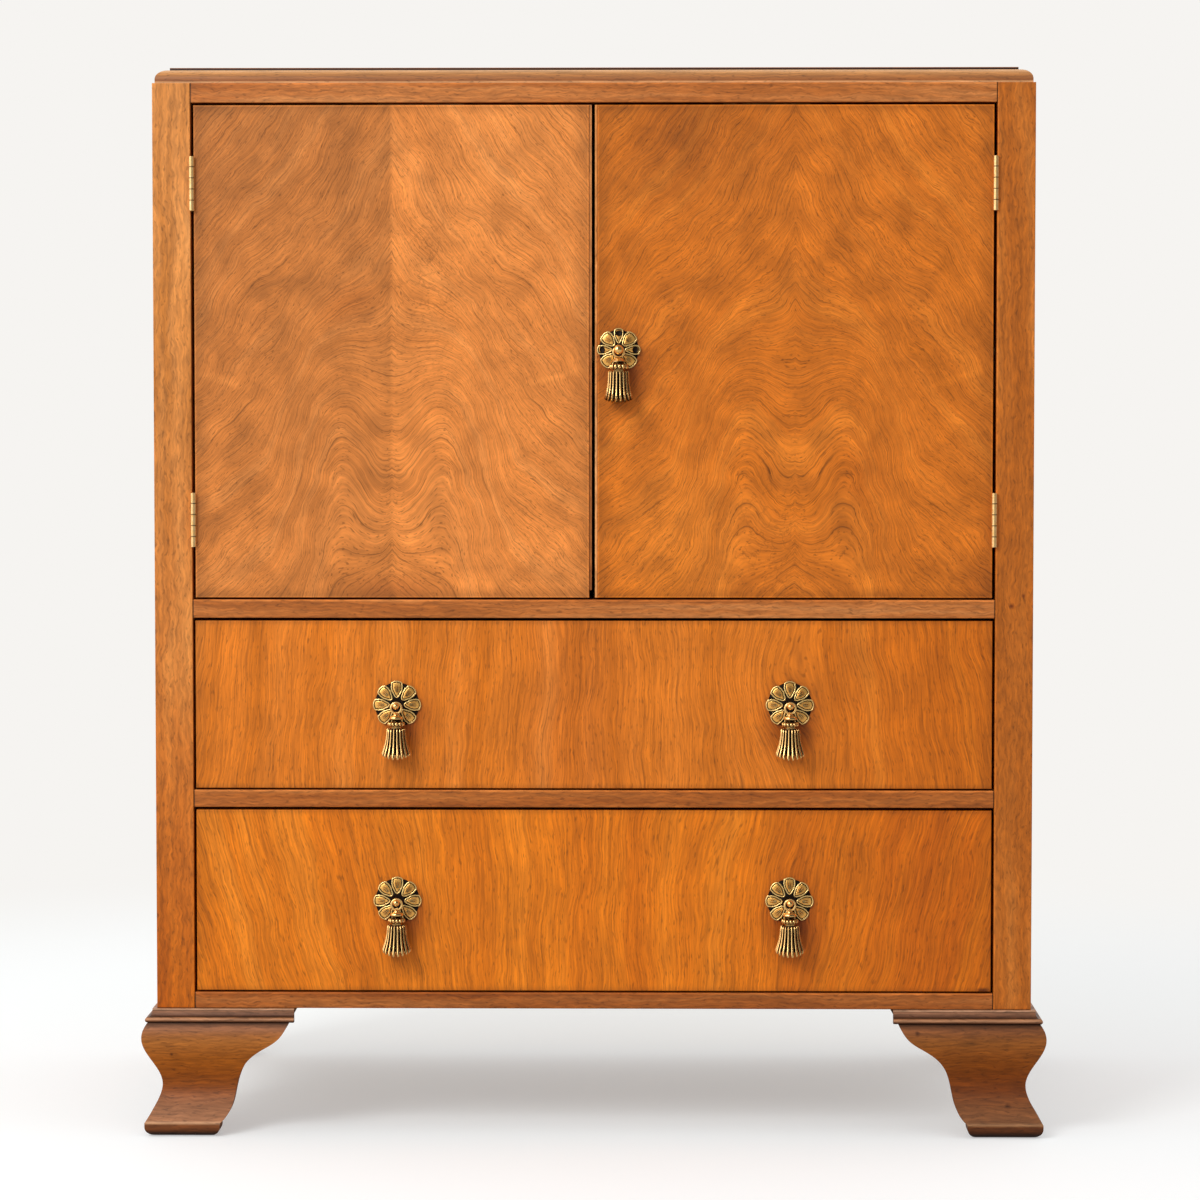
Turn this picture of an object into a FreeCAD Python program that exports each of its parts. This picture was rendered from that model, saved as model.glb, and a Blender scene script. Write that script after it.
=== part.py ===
import FreeCAD, Part
import math
import os
import re

import Sketcher

# Walnut cupboard chest: two doors over two drawers, on ogee bracket feet.
# Millimetres. X runs to the right seen from the front, Y to the back, Z up from the floor.

Vector = FreeCAD.Vector
ACROSS = Vector(1, 0, 0)
BACKWARDS = Vector(0, 1, 0)
UPWARDS = Vector(0, 0, 1)
CORNER = Vector(0, 0, 0)

driving_sizes = {
    # Carcass
    "carcass_width": 813,
    "carcass_depth": 455,
    "side_thickness": 18,
    "stile_width": 35,
    "stile_depth": 22,
    "rail_depth": 60,
    "bottom_rail_height": 15,
    "lower_drawer_opening": 173,
    "drawer_rail_height": 16,
    "upper_drawer_opening": 160,
    "cupboard_rail_height": 17,
    "cupboard_opening": 458,
    "top_rail_height": 18,
    "tenon_length": 20,
    "tenon_thickness": 10,
    "tenon_setback": 6,
    "tenon_shoulder": 3,
    "arris_radius": 0.8,
    "back_thickness": 6,
    "back_rebate": 9,
    "floor_thickness": 9,
    "housing_depth": 6,
    # Top
    "top_inset": 2.3,
    "top_edge_height": 3.5,
    "ovolo_height": 9.2,
    "ovolo_width": 12,
    "top_step_height": 2.3,
    "top_step_width": 0.6,
    # Inside the cupboard
    "shelf_height": 220,
    "shelf_thickness": 15,
    "shelf_setback": 20,
    "shelf_end_gap": 0.5,
    "batten_width": 20,
    "batten_height": 25,
    "door_stop_length": 80,
    "door_stop_width": 12,
    "door_stop_height": 10,
    "door_stop_offset": 160,
    "stop_clearance": 0.3,
    # Drawer bay
    "runner_width": 45,
    "guide_height": 20,
    "runner_clearance": 0.3,
    "drawer_stop_length": 40,
    "drawer_stop_width": 24,
    "drawer_stop_height": 5,
    "drawer_stop_offset": 250,
    # Drawers
    "face_setback": 0.5,
    "drawer_side_gap": 2.5,
    "drawer_top_gap": 2.6,
    "drawer_bottom_gap": 1.7,
    "drawer_front_thickness": 19,
    "drawer_side_thickness": 10,
    "drawer_back_thickness": 10,
    "drawer_bottom_thickness": 5,
    "drawer_bottom_rise": 8,
    "drawer_groove": 4,
    "drawer_side_drop": 4,
    "drawer_rear_space": 24,
    "dovetail_lap": 5,
    "tail_width": 24,
    "tail_taper": 3,
    # Doors
    "door_thickness": 19,
    "door_top_gap": 2.3,
    "door_bottom_gap": 1.8,
    "door_meeting_gap": 3,
    "lipping_thickness": 2.4,
    "left_lipping_setback": 2,
    "left_lipping_short": 7,
    # Hinges
    "hinge_gap": 3,
    "hinge_length": 50,
    "hinge_inset": 72,
    "leaf_width": 16,
    "leaf_thickness": 1.2,
    "knuckle_radius": 2.4,
    "knuckle_gap": 0.3,
    "knuckle_room": 0.3,
    "pin_radius": 1.2,
    "pin_clearance": 0.05,
    "pin_proud": 2.3,
    "screw_inset": 9,
    "screw_spacing": 17,
    "screw_radius": 1.1,
    "screw_head_radius": 2.1,
    "screw_length": 14,
    "screw_clearance": 0.05,
    # Bolt inside the left door
    "bolt_radius": 3,
    "bolt_length": 70,
    "bolt_throw": 12,
    "bolt_inset": 30,
    "bolt_drop": 3,
    "bolt_clearance": 0.08,
    "bolt_keeper_clearance": 0.4,
    "bolt_plate_width": 22,
    "bolt_plate_length": 60,
    "bolt_plate_thickness": 1.5,
    "bolt_guide_length": 10,
    "bolt_guide_wall": 2,
    "bolt_knob_radius": 3.5,
    "bolt_knob_length": 12,
    # Tassel pulls
    "pull_offset": 182,
    "door_pull_inset": 22,
    "door_pull_rise": 2,
    "rosette_radius": 22,
    "door_rosette_radius": 20,
    "rosette_rim": 1.2,
    "rosette_rise": 4,
    "rosette_boss_radius": 6,
    "scallop_radius": 2.6,
    "post_radius": 2.2,
    "post_clearance": 0.1,
    "stem_radius": 1.7,
    "stem_length": 15,
    "neck_radius": 1.4,
    "neck_back": 1.8,
    "neck_length": 3.6,
    "ball_radius": 3.1,
    "ball_length": 6.6,
    "door_ball_radius": 4.4,
    "knob_room": 0.4,
    "ring_radius": 4.85,
    "ring_wire_radius": 1.1,
    "ring_clearance": 0.15,
    "tassel_standoff": 14.3,
    "tassel_stalk_radius": 2.4,
    "upper_collar_radius": 6,
    "upper_collar_height": 3.2,
    "lower_collar_radius": 7.7,
    "lower_collar_height": 3.9,
    "collar_waist_radius": 4,
    "collar_waist_height": 1.8,
    "skirt_neck_radius": 6,
    "skirt_neck_height": 2.7,
    "skirt_top_radius": 8.5,
    "skirt_waist_radius": 10,
    "skirt_radius": 13.5,
    "skirt_length": 28.4,
    "flute_radius": 1.3,
    # Feet
    "bracket_height": 106.5,
    "bracket_thickness": 14,
    "pad_edge": 0.8,
    "pad_bulge": 11.2,
    "pad_round_height": 9,
    "pad_height": 12.5,
    "instep_bulge": 3.2,
    "instep_height": 26,
    "ankle_hollow": 4.2,
    "ankle_height": 47,
    "knee_bulge": 13.3,
    "knee_height": 91,
    "bracket_lip": 8,
    "bracket_tip": 130.5,
    "bracket_lobe": 123.7,
    "bracket_wing": 114.3,
    "bracket_wing_height": 92,
    "bracket_shoulder": 98.3,
    "bracket_shoulder_height": 81,
    "bracket_calf": 83,
    "bracket_calf_height": 68,
    "bracket_leg": 74.3,
    "bracket_leg_height": 48,
    "bracket_heel": 69,
    "bracket_heel_height": 26,
    "bracket_toe": 59,
    "toe_round": 10,
    "moulding_height": 12.5,
    "moulding_length": 128,
    "moulding_foot": 7.7,
    "moulding_bead": 10.2,
    "moulding_bead_height": 5,
    "moulding_cove": 3.9,
    "moulding_fillet": 1.6,
    "rear_board_width": 40,
    "rear_board_thickness": 16,
    "foot_block_width": 26,
    "foot_block_lift": 14,
}

derived_sizes = {
    # Across
    "half_width": "carcass_width / 2",
    "side_inner": "half_width - side_thickness",
    "opening_half": "half_width - stile_width",
    "drawer_half": "opening_half - drawer_side_gap",
    "drawer_inner": "drawer_half - drawer_side_thickness",
    "door_outer": "opening_half - hinge_gap",
    "door_inner": "door_meeting_gap / 2",
    "panel_inner": "door_inner + lipping_thickness",
    "pin_x": "opening_half - hinge_gap / 2",
    "bolt_x": "-(panel_inner + bolt_inset)",
    "door_pull_x": "door_inner + door_pull_inset",
    # Front to back
    "pull_projection": "tassel_standoff + skirt_radius - face_setback",
    "front_y": "(pull_projection - carcass_depth) / 2",
    "face_y": "front_y + face_setback",
    "back_y": "front_y + carcass_depth",
    "stile_back_y": "front_y + stile_depth",
    "rail_back_y": "front_y + rail_depth",
    "back_panel_y": "back_y - back_thickness",
    "shelf_y": "stile_back_y + shelf_setback",
    "door_back_y": "face_y + door_thickness",
    "drawer_joint_y": "face_y + drawer_front_thickness",
    "drawer_rear_y": "back_panel_y - drawer_rear_space",
    "drawer_back_y": "drawer_rear_y - drawer_back_thickness",
    "pin_y": "front_y - pin_proud",
    "knuckle_back_y": "pin_y + knuckle_radius + knuckle_room",
    "screw_y": "front_y + screw_inset",
    "bolt_plate_y": "door_back_y + bolt_plate_thickness",
    "bolt_y": "bolt_plate_y + bolt_guide_wall + bolt_radius",
    "ring_y": "face_y - tassel_standoff",
    "ring_lift": "neck_radius + ring_clearance + ring_wire_radius",
    "door_knob_reach": "sqrt((door_ball_radius + ring_wire_radius + knob_room)^2 - ring_lift^2)",
    "door_neck_length": "neck_back + door_knob_reach - door_ball_radius",
    # Upwards
    "base_z": "bracket_height + moulding_height",
    "lower_drawer_z": "base_z + bottom_rail_height",
    "drawer_rail_z": "lower_drawer_z + lower_drawer_opening",
    "upper_drawer_z": "drawer_rail_z + drawer_rail_height",
    "cupboard_rail_z": "upper_drawer_z + upper_drawer_opening",
    "cupboard_z": "cupboard_rail_z + cupboard_rail_height",
    "top_rail_z": "cupboard_z + cupboard_opening",
    "top_z": "top_rail_z + top_rail_height",
    "ovolo_top_z": "top_z + top_edge_height + ovolo_height",
    "floor_z": "cupboard_z - floor_thickness",
    "shelf_z": "cupboard_z + shelf_height",
    "door_z": "cupboard_z + door_bottom_gap",
    "door_top_z": "top_rail_z - door_top_gap",
    "bolt_top_z": "door_top_z - bolt_drop",
    "door_pull_z": "(door_z + door_top_z) / 2 + door_pull_rise",
}

DOVETAILS = 4
ROSETTE_PETALS = 8
SKIRT_FLUTES = 16
HINGE_KNUCKLES = 5
ROUND_POLE = 0.5523

doc = FreeCAD.newDocument("CupboardChest")
sheet = doc.addObject("Spreadsheet::Sheet", "Sizes")
for row, (alias, content) in enumerate({**driving_sizes, **derived_sizes}.items(), start=1):
    sheet.set(f"A{row}", alias)
    sheet.set(f"B{row}", str(content) if alias in driving_sizes else f"={content}")
    sheet.setAlias(f"B{row}", alias)
doc.recompute()

nodes = []


def size(alias):
    return float(sheet.get(alias))


def in_sheet(formula):
    return re.sub(r"[a-z][a-z_]+", lambda word: f"Sizes.{word.group(0)}", formula)


def bind(thing, prop, formula):
    thing.setExpression(prop, in_sheet(formula))


def place(thing, x="0", y="0", z="0"):
    for axis, formula in zip("xyz", (x, y, z)):
        bind(thing, f"Placement.Base.{axis}", formula)


def node(thing, label):
    thing.Label = label
    nodes.append(thing)
    return thing


# Building blocks shared by the pieces

def board(label, x_span, y_span, z_span):
    box = doc.addObject("Part::Box", label)
    for side, (low, high) in zip(("Length", "Width", "Height"), (x_span, y_span, z_span)):
        bind(box, side, f"({high}) - ({low})")
    place(box, x_span[0], y_span[0], z_span[0])
    return box


def mirrored(span):
    return f"-({span[1]})", f"-({span[0]})"


def fused(label, pieces):
    whole = doc.addObject("Part::MultiFuse", label)
    whole.Shapes = pieces
    whole.Refine = True
    return whole


def cut(label, blank, tools):
    result = doc.addObject("Part::Cut", label)
    result.Base = blank
    result.Tool = tools[0] if len(tools) == 1 else fused(f"{label}_cuts", tools)
    return result


def grouped(label, pieces):
    group = doc.addObject("Part::Compound", label)
    group.Links = pieces
    return node(group, label)


def rod(label, radius, length, axis, x, y, z):
    cylinder = doc.addObject("Part::Cylinder", label)
    bind(cylinder, "Radius", radius)
    bind(cylinder, "Height", length)
    cylinder.Placement.Rotation = FreeCAD.Rotation(UPWARDS, axis)
    place(cylinder, x, y, z)
    return cylinder


def origin_plane(body, role):
    return next(plane for plane in body.Origin.OriginFeatures if plane.Role == role)


def new_sketch(body, label, role):
    sketch = body.newObject("Sketcher::SketchObject", label)
    sketch.AttachmentSupport = [(origin_plane(body, role), "")]
    sketch.MapMode = "FlatFace"
    return sketch


def bound_outline(sketch, corners):
    # A closed outline whose corners are each tied to the sheet.
    count = len(corners)
    for index in range(count):
        start = Vector(index, index * index, 0)
        following = (index + 1) % count
        sketch.addGeometry(Part.LineSegment(start, Vector(following, following * following, 0)))
    for index in range(count):
        sketch.addConstraint(Sketcher.Constraint("Coincident", index, 2, (index + 1) % count, 1))
    for index, corner in enumerate(corners):
        for kind, formula in zip(("DistanceX", "DistanceY"), corner):
            number = sketch.addConstraint(Sketcher.Constraint(kind, -1, 1, index, 1, 0.0))
            sketch.setExpression(f"Constraints[{number}]", in_sheet(formula))


def planed_board(label, x_span, y_span, z_span):
    # A board padded upwards from its section, with the arrises of its front face eased.
    body = doc.addObject("PartDesign::Body", label)
    width = f"({x_span[1]}) - ({x_span[0]})"
    depth = f"({y_span[1]}) - ({y_span[0]})"
    section = new_sketch(body, f"{label}_section", "XY_Plane")
    bound_outline(section, (("0", "0"), (width, "0"), (width, depth), ("0", depth)))
    pad = body.newObject("PartDesign::Pad", f"{label}_pad")
    pad.Profile = section
    bind(pad, "Length", f"({z_span[1]}) - ({z_span[0]})")
    place(body, *(span[0] for span in (x_span, y_span, z_span)))
    doc.recompute()
    front_edges = [
        f"Edge{index}"
        for index, edge in enumerate(pad.Shape.Edges, start=1)
        if edge.BoundBox.YMax < size("arris_radius") / 2
    ]
    eased = body.newObject("PartDesign::Fillet", f"{label}_arris")
    eased.Base = (pad, front_edges)
    bind(eased, "Radius", "arris_radius")
    return body


def placed(label, master, x, y, z, turn=FreeCAD.Rotation()):
    link = doc.addObject("App::Link", label)
    link.LinkedObject = master
    link.Placement = FreeCAD.Placement(CORNER, turn)
    place(link, x, y, z)
    return link


def shaped(label, shape):
    feature = doc.addObject("Part::Feature", label)
    feature.Shape = shape
    feature.Placement = FreeCAD.Placement()
    return feature


def box_between(low, high):
    return Part.makeBox(*(high - low), low)


def joined(pieces):
    return pieces[0].multiFuse(pieces[1:]).removeSplitter()


def quarter_round(start, corner, end):
    curve = Part.BezierCurve()
    curve.setPoles([start, start + (corner - start) * ROUND_POLE, end + (corner - end) * ROUND_POLE, end])
    return curve.toShape()


def smooth_line(points):
    curve = Part.BSplineCurve()
    curve.interpolate(points)
    return curve.toShape()


def straight_lines(points):
    return [Part.makeLine(start, end) for start, end in zip(points, points[1:])]


def filled(edges):
    return Part.Face(Part.Wire(Part.__sortEdges__(edges)))


def mirror_across(shape):
    return shape.mirror(CORNER, ACROSS)


hands = {"left": mirrored, "right": tuple}

# Carcass: front frame

rails = {
    "bottom_rail": ("base_z", "lower_drawer_z"),
    "drawer_rail": ("drawer_rail_z", "upper_drawer_z"),
    "cupboard_rail": ("cupboard_rail_z", "cupboard_z"),
    "top_rail": ("top_rail_z", "top_z"),
}
hinge_levels = ("door_z + hinge_inset", "door_top_z - hinge_inset")
screw_levels = [f"{level} + ({step}) * screw_spacing" for level in hinge_levels for step in (-1, 0, 1)]


def tenon(label, hand, z_span):
    low, high = z_span
    return board(
        label,
        hand(("opening_half", "opening_half + tenon_length")),
        ("front_y + tenon_setback", "front_y + tenon_setback + tenon_thickness"),
        (f"{low} + tenon_shoulder", f"{high} - tenon_shoulder"),
    )


def screw_holes(label, edge, axis):
    radius = "screw_radius + screw_clearance"
    return [
        rod(f"{label}_screw_hole", radius, "screw_length", axis, edge, "screw_y", level)
        for level in screw_levels
    ]


for name, hand in hands.items():
    label = f"{name}_stile"
    blank = planed_board(
        f"{label}_blank",
        hand(("opening_half", "half_width")),
        ("front_y", "stile_back_y"),
        ("base_z", "top_z"),
    )
    mortises = [tenon(f"{label}_{rail}_mortise", hand, span) for rail, span in rails.items()]
    sign = 1 if name == "right" else -1
    holes = screw_holes(label, f"({sign}) * opening_half", ACROSS * sign)
    node(cut(f"{label}_cut", blank, mortises + holes), label)

for label, span in rails.items():
    face = planed_board(f"{label}_face", ("-opening_half", "opening_half"), ("front_y", "stile_back_y"), span)
    web = board(f"{label}_web", ("-side_inner", "side_inner"), ("stile_back_y", "rail_back_y"), span)
    tenons = [tenon(f"{label}_{name}_tenon", hand, span) for name, hand in hands.items()]
    rail = fused(f"{label}_fused", [face, web] + tenons)
    if label == "top_rail":
        keeper = rod(
            "bolt_keeper", "bolt_radius + bolt_keeper_clearance", "bolt_throw", UPWARDS,
            "bolt_x", "bolt_y", "top_rail_z",
        )
        rail = cut(f"{label}_cut", rail, [keeper])
    node(rail, label)

# Carcass: sides, back and floor

for name, hand in hands.items():
    label = f"{name}_side"
    blank = board(
        f"{label}_blank",
        hand(("side_inner", "half_width")),
        ("stile_back_y", "back_y"),
        ("base_z", "top_z"),
    )
    rebate = board(
        f"{label}_rebate",
        hand(("side_inner", "side_inner + back_rebate")),
        ("back_panel_y", "back_y"),
        ("base_z", "top_z"),
    )
    housing = board(
        f"{label}_housing",
        hand(("side_inner", "side_inner + housing_depth")),
        ("rail_back_y", "back_panel_y"),
        ("floor_z", "cupboard_z"),
    )
    node(cut(f"{label}_cut", blank, [rebate, housing]), label)

back_reach = "side_inner + back_rebate"
floor_reach = "side_inner + housing_depth"
node(board("back_board", (f"-({back_reach})", back_reach), ("back_panel_y", "back_y"), ("base_z", "top_z")),
     "back_panel")
node(board("floor_board", (f"-({floor_reach})", floor_reach), ("rail_back_y", "back_panel_y"),
           ("floor_z", "cupboard_z")),
     "cupboard_floor")

back_rail_y = ("back_panel_y - rail_depth", "back_panel_y")
base_reach = "side_inner - runner_width"
grouped("back_rails", [
    board("back_top_rail", ("-side_inner", "side_inner"), back_rail_y, rails["top_rail"]),
    board("back_base_rail", (f"-({base_reach})", base_reach), back_rail_y, rails["bottom_rail"]),
])

# Carcass: what carries the shelf and the drawers

shelf_reach = "side_inner - shelf_end_gap"
node(board("shelf_board", (f"-({shelf_reach})", shelf_reach), ("shelf_y", "back_panel_y"),
           ("shelf_z", "shelf_z + shelf_thickness")),
     "shelf")

bay_y = ("rail_back_y", "back_panel_y")
guide_y = ("stile_back_y", "back_panel_y")
battens = []
runners = []
guides = []
kickers = []
for name, hand in hands.items():
    runner_x = hand(("side_inner - runner_width", "side_inner"))
    guide_x = hand(("opening_half", "side_inner"))
    battens.append(board(
        f"{name}_batten",
        hand(("side_inner - batten_width", "side_inner")),
        ("shelf_y", "back_panel_y"),
        ("shelf_z - batten_height", "shelf_z"),
    ))
    kickers.append(board(f"{name}_kicker", runner_x, bay_y, ("cupboard_rail_z", "floor_z")))
    for rail in ("bottom_rail", "drawer_rail"):
        top = rails[rail][1]
        runners.append(board(f"{name}_{rail}_runner", runner_x, bay_y, rails[rail]))
        guides.append(board(f"{name}_{rail}_guide", guide_x, guide_y, (top, f"{top} + guide_height")))
grouped("shelf_battens", battens)
grouped("drawer_runners", runners)
grouped("drawer_guides", guides)
grouped("drawer_kickers", kickers)


def centred(middle, length):
    return f"{middle} - {length} / 2", f"{middle} + {length} / 2"


drawer_stop_y = "drawer_joint_y + stop_clearance"
grouped("drawer_stops", [
    board(
        f"{name}_{rail}_stop",
        hand(centred("drawer_stop_offset", "drawer_stop_length")),
        (drawer_stop_y, f"{drawer_stop_y} + drawer_stop_width"),
        (rails[rail][1], f"{rails[rail][1]} + drawer_stop_height"),
    )
    for name, hand in hands.items()
    for rail in ("bottom_rail", "drawer_rail")
])

door_stop_y = "door_back_y + stop_clearance"
grouped("door_stops", [
    board(
        f"{name}_door_stop",
        hand(centred("door_stop_offset", "door_stop_length")),
        (door_stop_y, f"{door_stop_y} + door_stop_width"),
        ("top_rail_z - door_stop_height", "top_rail_z"),
    )
    for name, hand in hands.items()
])

# Top: an ovolo along the front and both ends, with a small step above it


def moulded_top():
    half = size("half_width") - size("top_inset")
    front = size("front_y") + size("top_inset")
    back = size("back_y")
    low = size("top_z")
    shoulder = low + size("top_edge_height")
    high = size("ovolo_top_z")
    ledge_in = size("ovolo_width")
    step_in = ledge_in + size("top_step_width")

    def rim(inward, level):
        # The corners at one level, from the back left round the front to the back right.
        return [
            Vector(inward - half, back, level), Vector(inward - half, front + inward, level),
            Vector(half - inward, front + inward, level), Vector(half - inward, back, level),
        ]

    underside = rim(0, low)
    edge = rim(0, shoulder)
    ledge = rim(ledge_in, high)
    step = rim(step_in, high)
    crown = rim(step_in, high + size("top_step_height"))
    rounds = [quarter_round(begin, Vector(begin.x, begin.y, high), end) for begin, end in zip(edge, ledge)]
    faces = [filled(straight_lines(outline + outline[:1])) for outline in (underside, crown)]
    faces.append(filled(straight_lines(ledge + step[::-1] + ledge[:1])))
    for lower, upper in ((underside, edge), (step, crown)):
        for first, second in ((0, 1), (1, 2), (2, 3)):
            faces.append(filled(straight_lines(
                [lower[first], lower[second], upper[second], upper[first], lower[first]],
            )))
    faces += [Part.makeRuledSurface(begin, end) for begin, end in zip(rounds, rounds[1:])]
    back_edges = straight_lines([edge[0], underside[0], underside[3], edge[3]])
    back_edges += straight_lines([ledge[3], step[3], crown[3], crown[0], step[0], ledge[0]])
    faces.append(filled(back_edges + [rounds[0], rounds[3]]))
    shell = Part.makeShell(faces)
    shell.sewShape()
    return Part.makeSolid(shell)


node(shaped("moulded_top", moulded_top()), "top_panel")

# Feet: ogee brackets, mitred at the front corners, with a bead and cove moulding planted on their upper edge

foot_corner = Vector(-size("half_width"), size("front_y"), 0)
foot_reach = 2 * max(size("knee_bulge"), size("pad_bulge"), size("moulding_bead"))
foot_length = size("bracket_tip") + foot_reach


def section_point(outward, height):
    return foot_corner + Vector(-foot_reach, -outward, height)


def outline_point(inward, height):
    return foot_corner + Vector(inward, -foot_reach, height)


def bracket_strip():
    ogee = [
        (size("pad_bulge"), size("pad_height")),
        (size("instep_bulge"), size("instep_height")),
        (-size("ankle_hollow"), size("ankle_height")),
        (size("knee_bulge"), size("knee_height")),
        (size("bracket_lip"), size("bracket_height")),
    ]
    points = [section_point(*pair) for pair in ogee]
    inside = -size("bracket_thickness")
    sole = section_point(size("pad_edge"), 0)
    pad_side = section_point(size("pad_bulge"), size("pad_round_height"))
    edges = [smooth_line(points), quarter_round(sole, section_point(size("pad_bulge"), 0), pad_side)]
    edges += straight_lines([pad_side, points[0]])
    edges += straight_lines([
        points[-1], section_point(0, size("bracket_height")), section_point(0, size("base_z")),
        section_point(inside, size("base_z")), section_point(inside, 0), sole,
    ])
    return filled(edges).extrude(ACROSS * foot_length)


def bracket_outline():
    shaped_edge = [
        (size("bracket_toe"), size("pad_height")),
        (size("bracket_heel"), size("bracket_heel_height")),
        (size("bracket_leg"), size("bracket_leg_height")),
        (size("bracket_calf"), size("bracket_calf_height")),
        (size("bracket_shoulder"), size("bracket_shoulder_height")),
        (size("bracket_wing"), size("bracket_wing_height")),
        (size("bracket_lobe"), size("bracket_height")),
        (size("bracket_tip"), size("base_z")),
    ]
    points = [outline_point(*pair) for pair in shaped_edge]
    outside = -foot_reach
    toe = size("bracket_toe")
    sole = outline_point(toe - size("toe_round"), 0)
    toe_side = outline_point(toe, size("pad_round_height"))
    edges = [smooth_line(points), quarter_round(sole, outline_point(toe, 0), toe_side)]
    edges += straight_lines([toe_side, points[0]])
    edges += straight_lines([
        points[-1], outline_point(outside, size("base_z")), outline_point(outside, 0), sole,
    ])
    return filled(edges).extrude(BACKWARDS * (foot_reach + size("bracket_thickness")))


def moulding_strip():
    base = size("bracket_height")
    bead_top = base + size("moulding_bead_height")
    top = size("base_z")
    foot = size("moulding_foot")
    cove = size("moulding_cove")
    cove_top = section_point(cove, top - size("moulding_fillet"))
    low = section_point(foot, base)
    middle = section_point(size("moulding_bead"), (base + bead_top) / 2)
    high = section_point(foot, bead_top)
    edges = [Part.Arc(low, middle, high).toShape()]
    edges.append(quarter_round(high, section_point(cove, bead_top), cove_top))
    edges += straight_lines([
        cove_top, section_point(cove, top), section_point(0, top), section_point(0, base), low,
    ])
    return filled(edges).extrude(ACROSS * (foot_reach + size("moulding_length")))


def above_mitre(shape):
    corners = [(-foot_reach, -foot_reach), (foot_length, -foot_reach), (foot_length, foot_length)]
    points = [foot_corner + Vector(inward, back, 0) for inward, back in corners + corners[:1]]
    return shape.common(filled(straight_lines(points)).extrude(UPWARDS * size("base_z")))


def squared_end(shape):
    low = foot_corner + Vector(0, -foot_reach, 0)
    high = foot_corner + Vector(foot_length, foot_length, size("base_z"))
    return shape.common(box_between(low, high))


def along_side(shape):
    return shape.mirror(foot_corner, Vector(1, -1, 0))


def at_back(shape):
    return shape.mirror(Vector(0, (size("front_y") + size("back_y")) / 2, 0), BACKWARDS)


def corner_block(front_gap):
    side_gap = size("bracket_thickness")
    low = foot_corner + Vector(side_gap, front_gap, size("foot_block_lift"))
    width = size("foot_block_width")
    return Part.makeBox(width, width, size("base_z") - size("foot_block_lift"), low)


bracket = bracket_strip().common(bracket_outline())
front_bracket = above_mitre(bracket)
rear_bracket = at_back(along_side(squared_end(bracket)))
rear_board = at_back(box_between(
    foot_corner + Vector(size("bracket_thickness"), 0, 0),
    foot_corner + Vector(size("rear_board_width"), size("rear_board_thickness"), size("base_z")),
))
front_foot = [front_bracket, along_side(front_bracket)]
rear_foot = [rear_bracket, rear_board]
mitred_moulding = above_mitre(moulding_strip())
mouldings = [mitred_moulding, along_side(mitred_moulding), at_back(along_side(squared_end(moulding_strip())))]
blocks = [corner_block(size("bracket_thickness")), at_back(corner_block(size("rear_board_thickness")))]
foot_groups = {
    "front_left_foot": front_foot,
    "front_right_foot": [mirror_across(piece) for piece in front_foot],
    "rear_left_foot": rear_foot,
    "rear_right_foot": [mirror_across(piece) for piece in rear_foot],
    "foot_mouldings": mouldings + [mirror_across(piece) for piece in mouldings],
    "foot_blocks": blocks + [mirror_across(piece) for piece in blocks],
}
for label, pieces in foot_groups.items():
    node(shaped(f"{label}_pieces", Part.makeCompound(pieces)), label)

# Butt hinges, drawn for the right door and mirrored for the left

pin_axis = Vector(size("pin_x"), size("pin_y"), 0)
knuckle_height = size("hinge_length") / HINGE_KNUCKLES
hinge_middles = (size("door_z") + size("hinge_inset"), size("door_top_z") - size("hinge_inset"))
screw_steps = (-size("screw_spacing"), 0, size("screw_spacing"))


def screw(edge, into, level):
    # A countersunk screw whose head fills the leaf, with its point in the wood.
    leaf = size("leaf_thickness")
    start = Vector(edge - into * leaf, size("screw_y"), level)
    profile = [(0, 0), (size("screw_head_radius"), 0), (size("screw_radius"), leaf),
               (size("screw_radius"), size("screw_length")), (0, size("screw_length")), (0, 0)]
    points = [start + Vector(into * along, 0, radius) for radius, along in profile]
    return filled(straight_lines(points)).revolve(start, ACROSS, 360)


def countersink(edge, into, level):
    leaf = size("leaf_thickness")
    start = Vector(edge - into * leaf, size("screw_y"), level)
    room = size("screw_clearance")
    return Part.makeCone(
        size("screw_head_radius") + room, size("screw_radius") + room, leaf, start, ACROSS * into,
    )


def hinge_leaf(edge, into, first_knuckle, middle):
    leaf = size("leaf_thickness")
    half = size("hinge_length") / 2
    left = min(edge, edge - into * leaf)
    back = size("knuckle_back_y")
    pieces = [box_between(
        Vector(left, back, middle - half),
        Vector(left + leaf, size("front_y") + size("leaf_width"), middle + half),
    )]
    for index in range(first_knuckle, HINGE_KNUCKLES, 2):
        low = middle - half + index * knuckle_height + size("knuckle_gap") / 2
        height = knuckle_height - size("knuckle_gap")
        pieces.append(Part.makeCylinder(size("knuckle_radius"), height, pin_axis + UPWARDS * low))
        pieces.append(box_between(Vector(left, pin_axis.y, low), Vector(left + leaf, back, low + height)))
    bore = Part.makeCylinder(
        size("pin_radius") + size("pin_clearance"),
        size("hinge_length"),
        pin_axis + UPWARDS * (middle - half),
    )
    openings = [bore] + [countersink(edge, into, middle + step) for step in screw_steps]
    return joined(pieces).cut(openings)


def hinge_pin(middle):
    low = pin_axis + UPWARDS * (middle - size("hinge_length") / 2)
    return Part.makeCylinder(size("pin_radius"), size("hinge_length"), low)


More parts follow.
